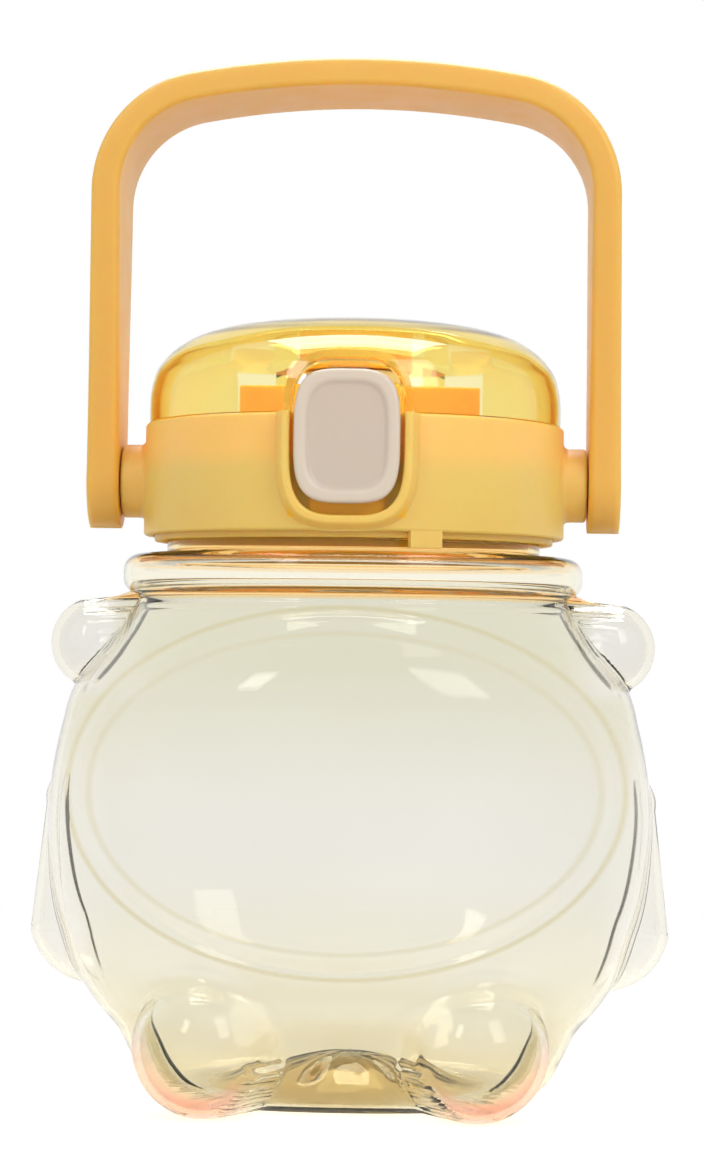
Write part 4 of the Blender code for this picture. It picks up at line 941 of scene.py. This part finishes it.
def zone(tree, masks, wander=0.0):
    """A share that is 1 where every mask (axis, start, end) is, with an edge waved by noise.

    An axis given as two numbers is the distance from that place in x and z, on either side.
    """
    axes = own_axes(tree)
    share = None
    for axis, start, end in masks:
        if isinstance(axis, tuple):
            across = maths(tree, "SUBTRACT", maths(tree, "ABSOLUTE", axes["X"]), axis[0])
            value = hypotenuse(tree, across, maths(tree, "SUBTRACT", axes["Z"], axis[1]))
        elif axis == "absX":
            value = maths(tree, "ABSOLUTE", axes["X"])
        elif axis == "round":
            value = hypotenuse(tree, axes["X"], axes["Y"])
        else:
            value = axes[axis]
        if wander:
            swing = maths(tree, "SUBTRACT", noise(tree, 90, 2), 0.5)
            value = maths(tree, "ADD", value, maths(tree, "MULTIPLY", swing, wander))
        each = ramp(tree, value, start, end)
        share = each if share is None else maths(tree, "MULTIPLY", share, each)
    return share


def oval_shade_line(tree, size, width):
    """A thin painted shade line on the front along the tummy oval's step, its size as a share of the oval.
    """
    axes = own_axes(tree)
    x = maths(tree, "DIVIDE", axes["X"], TUMMY_HALF_WIDTH - (1 - size) * TUMMY_HALF_HEIGHT)
    z = maths(tree, "DIVIDE", maths(tree, "SUBTRACT", axes["Z"], TUMMY_Z), TUMMY_HALF_HEIGHT * size)
    off = maths(tree, "ABSOLUTE", maths(tree, "SUBTRACT", hypotenuse(tree, x, z), 1.0))
    line = ramp(tree, off, width / TUMMY_HALF_HEIGHT, 0.0)
    return maths(tree, "MULTIPLY", line, ramp(tree, axes["Y"], -0.010, -0.020))


def bumped(tree, shader, source, strength, distance):
    """Bump from a value."""
    node = tree.nodes.new("ShaderNodeBump")
    node.inputs["Strength"].default_value = strength
    node.inputs["Distance"].default_value = distance
    tree.links.new(source, node.inputs["Height"])
    tree.links.new(node.outputs["Normal"], shader.inputs["Normal"])


def solid_plastic(name, colour, darker, roughness, grain=900, zones=(), subsurface=0.0):
    """Moulded opaque plastic with a faint mottle, fine grain and uneven sheen."""
    made, tree, shader, _ = node_tree(name)
    base = mixed(tree, spread(tree, noise(tree, 35), 0, 1), colour, darker)
    for mask_colour, wander, masks in zones:
        base = tinted(tree, base, zone(tree, masks, wander), mask_colour)
    tree.links.new(base, shader.inputs["Base Color"])
    low, high = roughness
    tree.links.new(spread(tree, noise(tree, 120, 4), low, high), shader.inputs["Roughness"])
    strength, height = 0.12, 0.0001
    bumped(tree, shader, noise(tree, grain, 2), strength, height)
    shader.inputs["IOR"].default_value = 1.48
    if subsurface:
        shader.inputs["Subsurface Weight"].default_value = subsurface
        shader.inputs["Subsurface Radius"].default_value = (1.0, 0.5, 0.15)
        shader.inputs["Subsurface Scale"].default_value = 0.005
    return made


def clear_plastic(name, tint, cloudy, absorb, density, roughness, shade, ior, zones=(), oval=()):
    """Transparent moulded plastic, tinted by its depth, with a faintly uneven surface."""
    made, tree, shader, output = node_tree(name)
    colour = mixed(tree, spread(tree, noise(tree, 22, 2), 0, 1), tint, cloudy)
    for mask_colour, wander, masks in zones:
        colour = tinted(tree, colour, zone(tree, masks, wander), mask_colour)
    for mask_colour, size, width in oval:
        colour = tinted(tree, colour, oval_shade_line(tree, size, width), mask_colour)
    tree.links.new(colour, shader.inputs["Base Color"])
    shader.inputs["Transmission Weight"].default_value = 1.0
    shader.inputs["IOR"].default_value = ior
    low, high = roughness
    tree.links.new(spread(tree, noise(tree, 60, 3), low, high), shader.inputs["Roughness"])
    strength, height = 0.05, 0.0008
    bumped(tree, shader, noise(tree, 45, 1), strength, height)
    paths = tree.nodes.new("ShaderNodeLightPath")
    through = tree.nodes.new("ShaderNodeBsdfTransparent")
    through.inputs["Color"].default_value = (*shade, 1.0)
    shadow = paths.outputs["Is Shadow Ray"]
    blended(tree, shadow, shader.outputs["BSDF"], through.outputs["BSDF"], output)
    volume = tree.nodes.new("ShaderNodeVolumeAbsorption")
    volume.inputs["Color"].default_value = (*absorb, 1.0)
    volume.inputs["Density"].default_value = density
    tree.links.new(volume.outputs["Volume"], output.inputs["Volume"])
    return made


def wire_steel(name):
    """Drawn spring wire with fine streaks."""
    made, tree, shader, _ = node_tree(name)
    streaks = noise(tree, 900, 3, (1, 0.2, 0.2))
    colour = mixed(tree, spread(tree, streaks, 0, 1), (0.62, 0.61, 0.59), (0.45, 0.44, 0.43))
    tree.links.new(colour, shader.inputs["Base Color"])
    tree.links.new(spread(tree, streaks, 0.22, 0.36), shader.inputs["Roughness"])
    shader.inputs["Metallic"].default_value = 1.0
    return made


# Colour zones of the clear body: colour, how far the edge wanders, and where each axis starts and ends.
# Those for the neck, the collar's edges and the feet are painted light, marked below
BODY_ZONES_WITH_PAINTED_LIGHT = (
    ((0.86, 0.86, 0.80), 0.0, (("Z", 0.055, 0.095),)),
    ((0.90, 0.90, 0.905), 0.0, (("Z", 0.082, 0.086), ("absX", 0.046, 0.052))),
    ((0.93, 0.93, 0.935), 0.0, (("Z", 0.075, 0.065), ("absX", 0.054, 0.060))),
    ((0.91, 0.90, 0.845), 0.0, (("Z", 0.050, 0.025), ("absX", 0.058, 0.050))),
    ((0.84, 0.81, 0.71), 0.004, (("Z", 0.0230, 0.0150), ("absX", 0.052, 0.040))),
    ((0.62, 0.52, 0.30), 0.007, (("Z", 0.0110, 0.0080), ("round", 0.040, 0.022))),
    ((0.97, 0.96, 0.92), 0.0, (("Z", 0.1050, 0.1060), ("Z", 0.1125, 0.1115))),
    # Painted light: a yellow glow from the lid, on the neck under it
    ((0.99, 0.90, 0.62), 0.0, (("Z", 0.1130, 0.1142),)),
    # The next two are painted light: orange refraction lines along the top and the bottom edge of the
    # collar
    ((0.99, 0.67, 0.30), 0.0, (("Z", 0.1106, 0.1122), ("Z", 0.1146, 0.1134))),
    ((0.99, 0.74, 0.40), 0.0, (("Z", 0.1030, 0.1040), ("Z", 0.1058, 0.1048))),
    # Painted light: salmon refraction crescents along the front of the feet
    (
        (0.89, 0.64, 0.56), 0.001,
        (
            ((0.0285, 0.0180), 0.0115, 0.0140), ("Z", 0.0210, 0.0160),
            ("absX", 0.017, 0.022), ("Y", -0.026, -0.037),
        ),
    ),
)

# Painted shade lines along the tummy oval, where the surface steps: colour, size as a share of the oval,
# and width
BODY_OVAL_SHADE_LINES = (
    ((0.80, 0.76, 0.60), 1.0, 0.0008),
    ((0.84, 0.82, 0.72), 0.86, 0.0010),
)

# Painted shade: the bay under the button is painted a deeper orange, standing in for the shade and bounced
# light in its recess. The button's dish is a shade darker than its rim
LID_PAINTED_SHADE = (
    (
        (1.0, 0.52, 0.03), 0.0,
        (("Y", -0.0456, -0.0435), ("Y", -0.0395, -0.0405), ("absX", 0.0122, 0.0116), ("Z", 0.1192, 0.1198)),
    ),
)
BUTTON_ZONES = (((0.61, 0.51, 0.41), 0.0, (("Y", -0.04705, -0.04665),)),)

LOOKS = {
    "clear_plastic": clear_plastic(
        "clear_copolyester", (0.90, 0.90, 0.89), (0.925, 0.925, 0.915),
        (1.0, 0.87, 0.38), 50, (0.015, 0.04), (0.97, 0.96, 0.92), 1.28,
        zones=BODY_ZONES_WITH_PAINTED_LIGHT, oval=BODY_OVAL_SHADE_LINES,
    ),
    "amber_plastic": clear_plastic(
        "amber_copolyester", (0.935, 0.93, 0.81), (0.955, 0.95, 0.86),
        (1.0, 0.87, 0.12), 330, (0.02, 0.05), (1.0, 0.97, 0.84), 1.46,
    ),
    "yellow_plastic": solid_plastic(
        "yellow_satin", (0.93, 0.585, 0.145), (0.90, 0.555, 0.125), (0.38, 0.48),
        zones=LID_PAINTED_SHADE, subsurface=0.6,
    ),
    "handle_yellow": solid_plastic(
        "yellow_handle", (0.82, 0.49, 0.10), (0.79, 0.47, 0.09), (0.36, 0.46), subsurface=0.8,
    ),
    "cream_plastic": solid_plastic(
        "cream_satin", (0.70, 0.60, 0.49), (0.67, 0.575, 0.465), (0.28, 0.36),
        zones=BUTTON_ZONES, subsurface=0.2,
    ),
    "white_plastic": solid_plastic("white_satin", (0.80, 0.77, 0.70), (0.76, 0.73, 0.66), (0.34, 0.44)),
    "silicone": solid_plastic(
        "silicone_matt", (0.80, 0.79, 0.74), (0.74, 0.73, 0.68), (0.50, 0.62), subsurface=0.2,
    ),
    "spring_steel": wire_steel("spring_wire"),
}


def dress(item, slot):
    """Give an object the look of a material slot."""
    item.data.materials.clear()
    item.data.materials.append(LOOKS[slot])


slot_of = {part["node"]: part["material_slot"] for part in frame["record"]["subparts"]}
body_of = {name: body for body, names in frame["record"]["behaviour"]["bodies"].items() for name in names}

for node_name, item in nodes.items():
    dress(item, slot_of[node_name])


FINE_LOOKS = {"handle": "handle_yellow"}


def stand_in(item, node_name):
    """A fine piece that stands for a CAD node, with its body, slot and look."""
    dress(item, FINE_LOOKS.get(node_name, slot_of[node_name]))
    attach(item, body_of[node_name])
    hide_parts(node_name)


stand_in(make_bottle(), "bottle_body")
stand_in(make_lid(), "lid_base")
stand_in(make_cover(), "flip_cover")
stand_in(make_button(), "button")
stand_in(make_handle(), "handle")
for piece, node_name in make_inner_parts():
    stand_in(piece, node_name)


# Studio

def seen_share(tree):
    """One for camera, glossy and transmission rays, which see white, and zero for the rest."""
    paths = tree.nodes.new("ShaderNodeLightPath")
    share = maths(tree, "ADD", paths.outputs["Is Camera Ray"], paths.outputs["Is Glossy Ray"])
    share = maths(tree, "ADD", share, paths.outputs["Is Transmission Ray"])
    return maths(tree, "MINIMUM", share, 1.0)


def make_floor():
    """A pale floor that keeps the bottle's shadow and turns into the white background."""
    size = 8.0
    lift = 0.36
    fade_start, fade_end = 0.12, 0.45
    corners = [(-size, -size, 0), (size, -size, 0), (size, size, 0), (-size, size, 0)]
    floor = new_object("floor", corners, [(0, 1, 2, 3)])
    made, tree, shader, output = node_tree("floor_white")
    shader.inputs["Base Color"].default_value = (0.86, 0.86, 0.86, 1.0)
    shader.inputs["Roughness"].default_value = 0.6
    shader.inputs["Specular IOR Level"].default_value = 0.0
    glow = tree.nodes.new("ShaderNodeEmission")
    place = tree.nodes.new("ShaderNodeTexCoord")
    length = tree.nodes.new("ShaderNodeVectorMath")
    length.operation = "LENGTH"
    tree.links.new(place.outputs["Object"], length.inputs[0])
    seen = seen_share(tree)
    shader.inputs["Emission Color"].default_value = (1.0, 1.0, 1.0, 1.0)
    tree.links.new(maths(tree, "MULTIPLY", seen, lift), shader.inputs["Emission Strength"])
    far = ramp(tree, length.outputs["Value"], fade_start, fade_end)
    share = maths(tree, "MULTIPLY", seen, far)
    blended(tree, share, shader.outputs["BSDF"], glow.outputs["Emission"], output)
    floor.data.materials.append(made)


def make_world():
    """White to the camera, in gloss and through glass, and a plain soft level for the rest."""
    world = bpy.data.worlds.new("studio")
    bpy.context.scene.world = world
    world.use_nodes = True
    tree = world.node_tree
    tree.nodes.clear()
    output = tree.nodes.new("ShaderNodeOutputWorld")
    soft_level, white_level = 0.70, 1.0
    levels = []
    for strength in (soft_level, white_level):
        node = tree.nodes.new("ShaderNodeBackground")
        node.inputs["Color"].default_value = (1.0, 1.0, 1.0, 1.0)
        node.inputs["Strength"].default_value = strength
        levels.append(node.outputs["Background"])
    blended(tree, seen_share(tree), *levels, output)


def add_softbox(name, place, target, size, power, shine_only=False):
    """A rectangular lamp pointed at a target; with shine_only it gives no diffuse light."""
    lamp = bpy.data.lights.new(name, "AREA")
    lamp.shape = "RECTANGLE"
    lamp.size, lamp.size_y = size
    lamp.energy = power
    item = bpy.data.objects.new(name, lamp)
    bpy.context.scene.collection.objects.link(item)
    item.location = place
    item.rotation_euler = (Vector(target) - Vector(place)).to_track_quat("-Z", "Y").to_euler()
    item.visible_diffuse = not shine_only


def add_camera():
    """The photograph's view: from the front, a little below the lid, almost level."""
    distance = 0.650
    height = 0.0929
    focal_pixels = 3068
    image_width = 704
    horizon_below_middle = 652 - 587.5
    middle_offset = 353 - 352
    camera = bpy.data.cameras.new("camera")
    camera.sensor_fit = "HORIZONTAL"
    camera.sensor_width = 36.0
    camera.lens = 36.0 * focal_pixels / image_width
    camera.clip_start = 0.01
    item = bpy.data.objects.new("camera", camera)
    bpy.context.scene.collection.objects.link(item)
    yaw = math.radians(2.0)
    place = Matrix.Rotation(yaw, 4, "Z") @ Vector((0, -distance, height))
    pitch = math.atan(horizon_below_middle / focal_pixels)
    pan = math.atan(middle_offset / focal_pixels)
    roll = math.radians(0.75)
    turn = (
        Matrix.Rotation(yaw + pan, 4, "Z")
        @ Matrix.Rotation(math.pi / 2 + pitch, 4, "X")
        @ Matrix.Rotation(roll, 4, "Z")
    )
    item.matrix_world = Matrix.Translation(place) @ turn
    bpy.context.scene.camera = item


make_floor()
make_world()
add_softbox("key", (0.60, -0.75, 0.70), (0, 0, 0.08), (0.38, 0.70), 3.6)
add_softbox("fill", (-0.52, -0.80, 0.70), (0, 0, 0.08), (0.16, 0.42), 1.6)
add_softbox("top", (0.0, 0.25, 1.05), (0, 0, 0.15), (0.80, 0.90), 20.0, shine_only=True)
add_camera()

bpy.context.scene.view_settings.view_transform = "Standard"
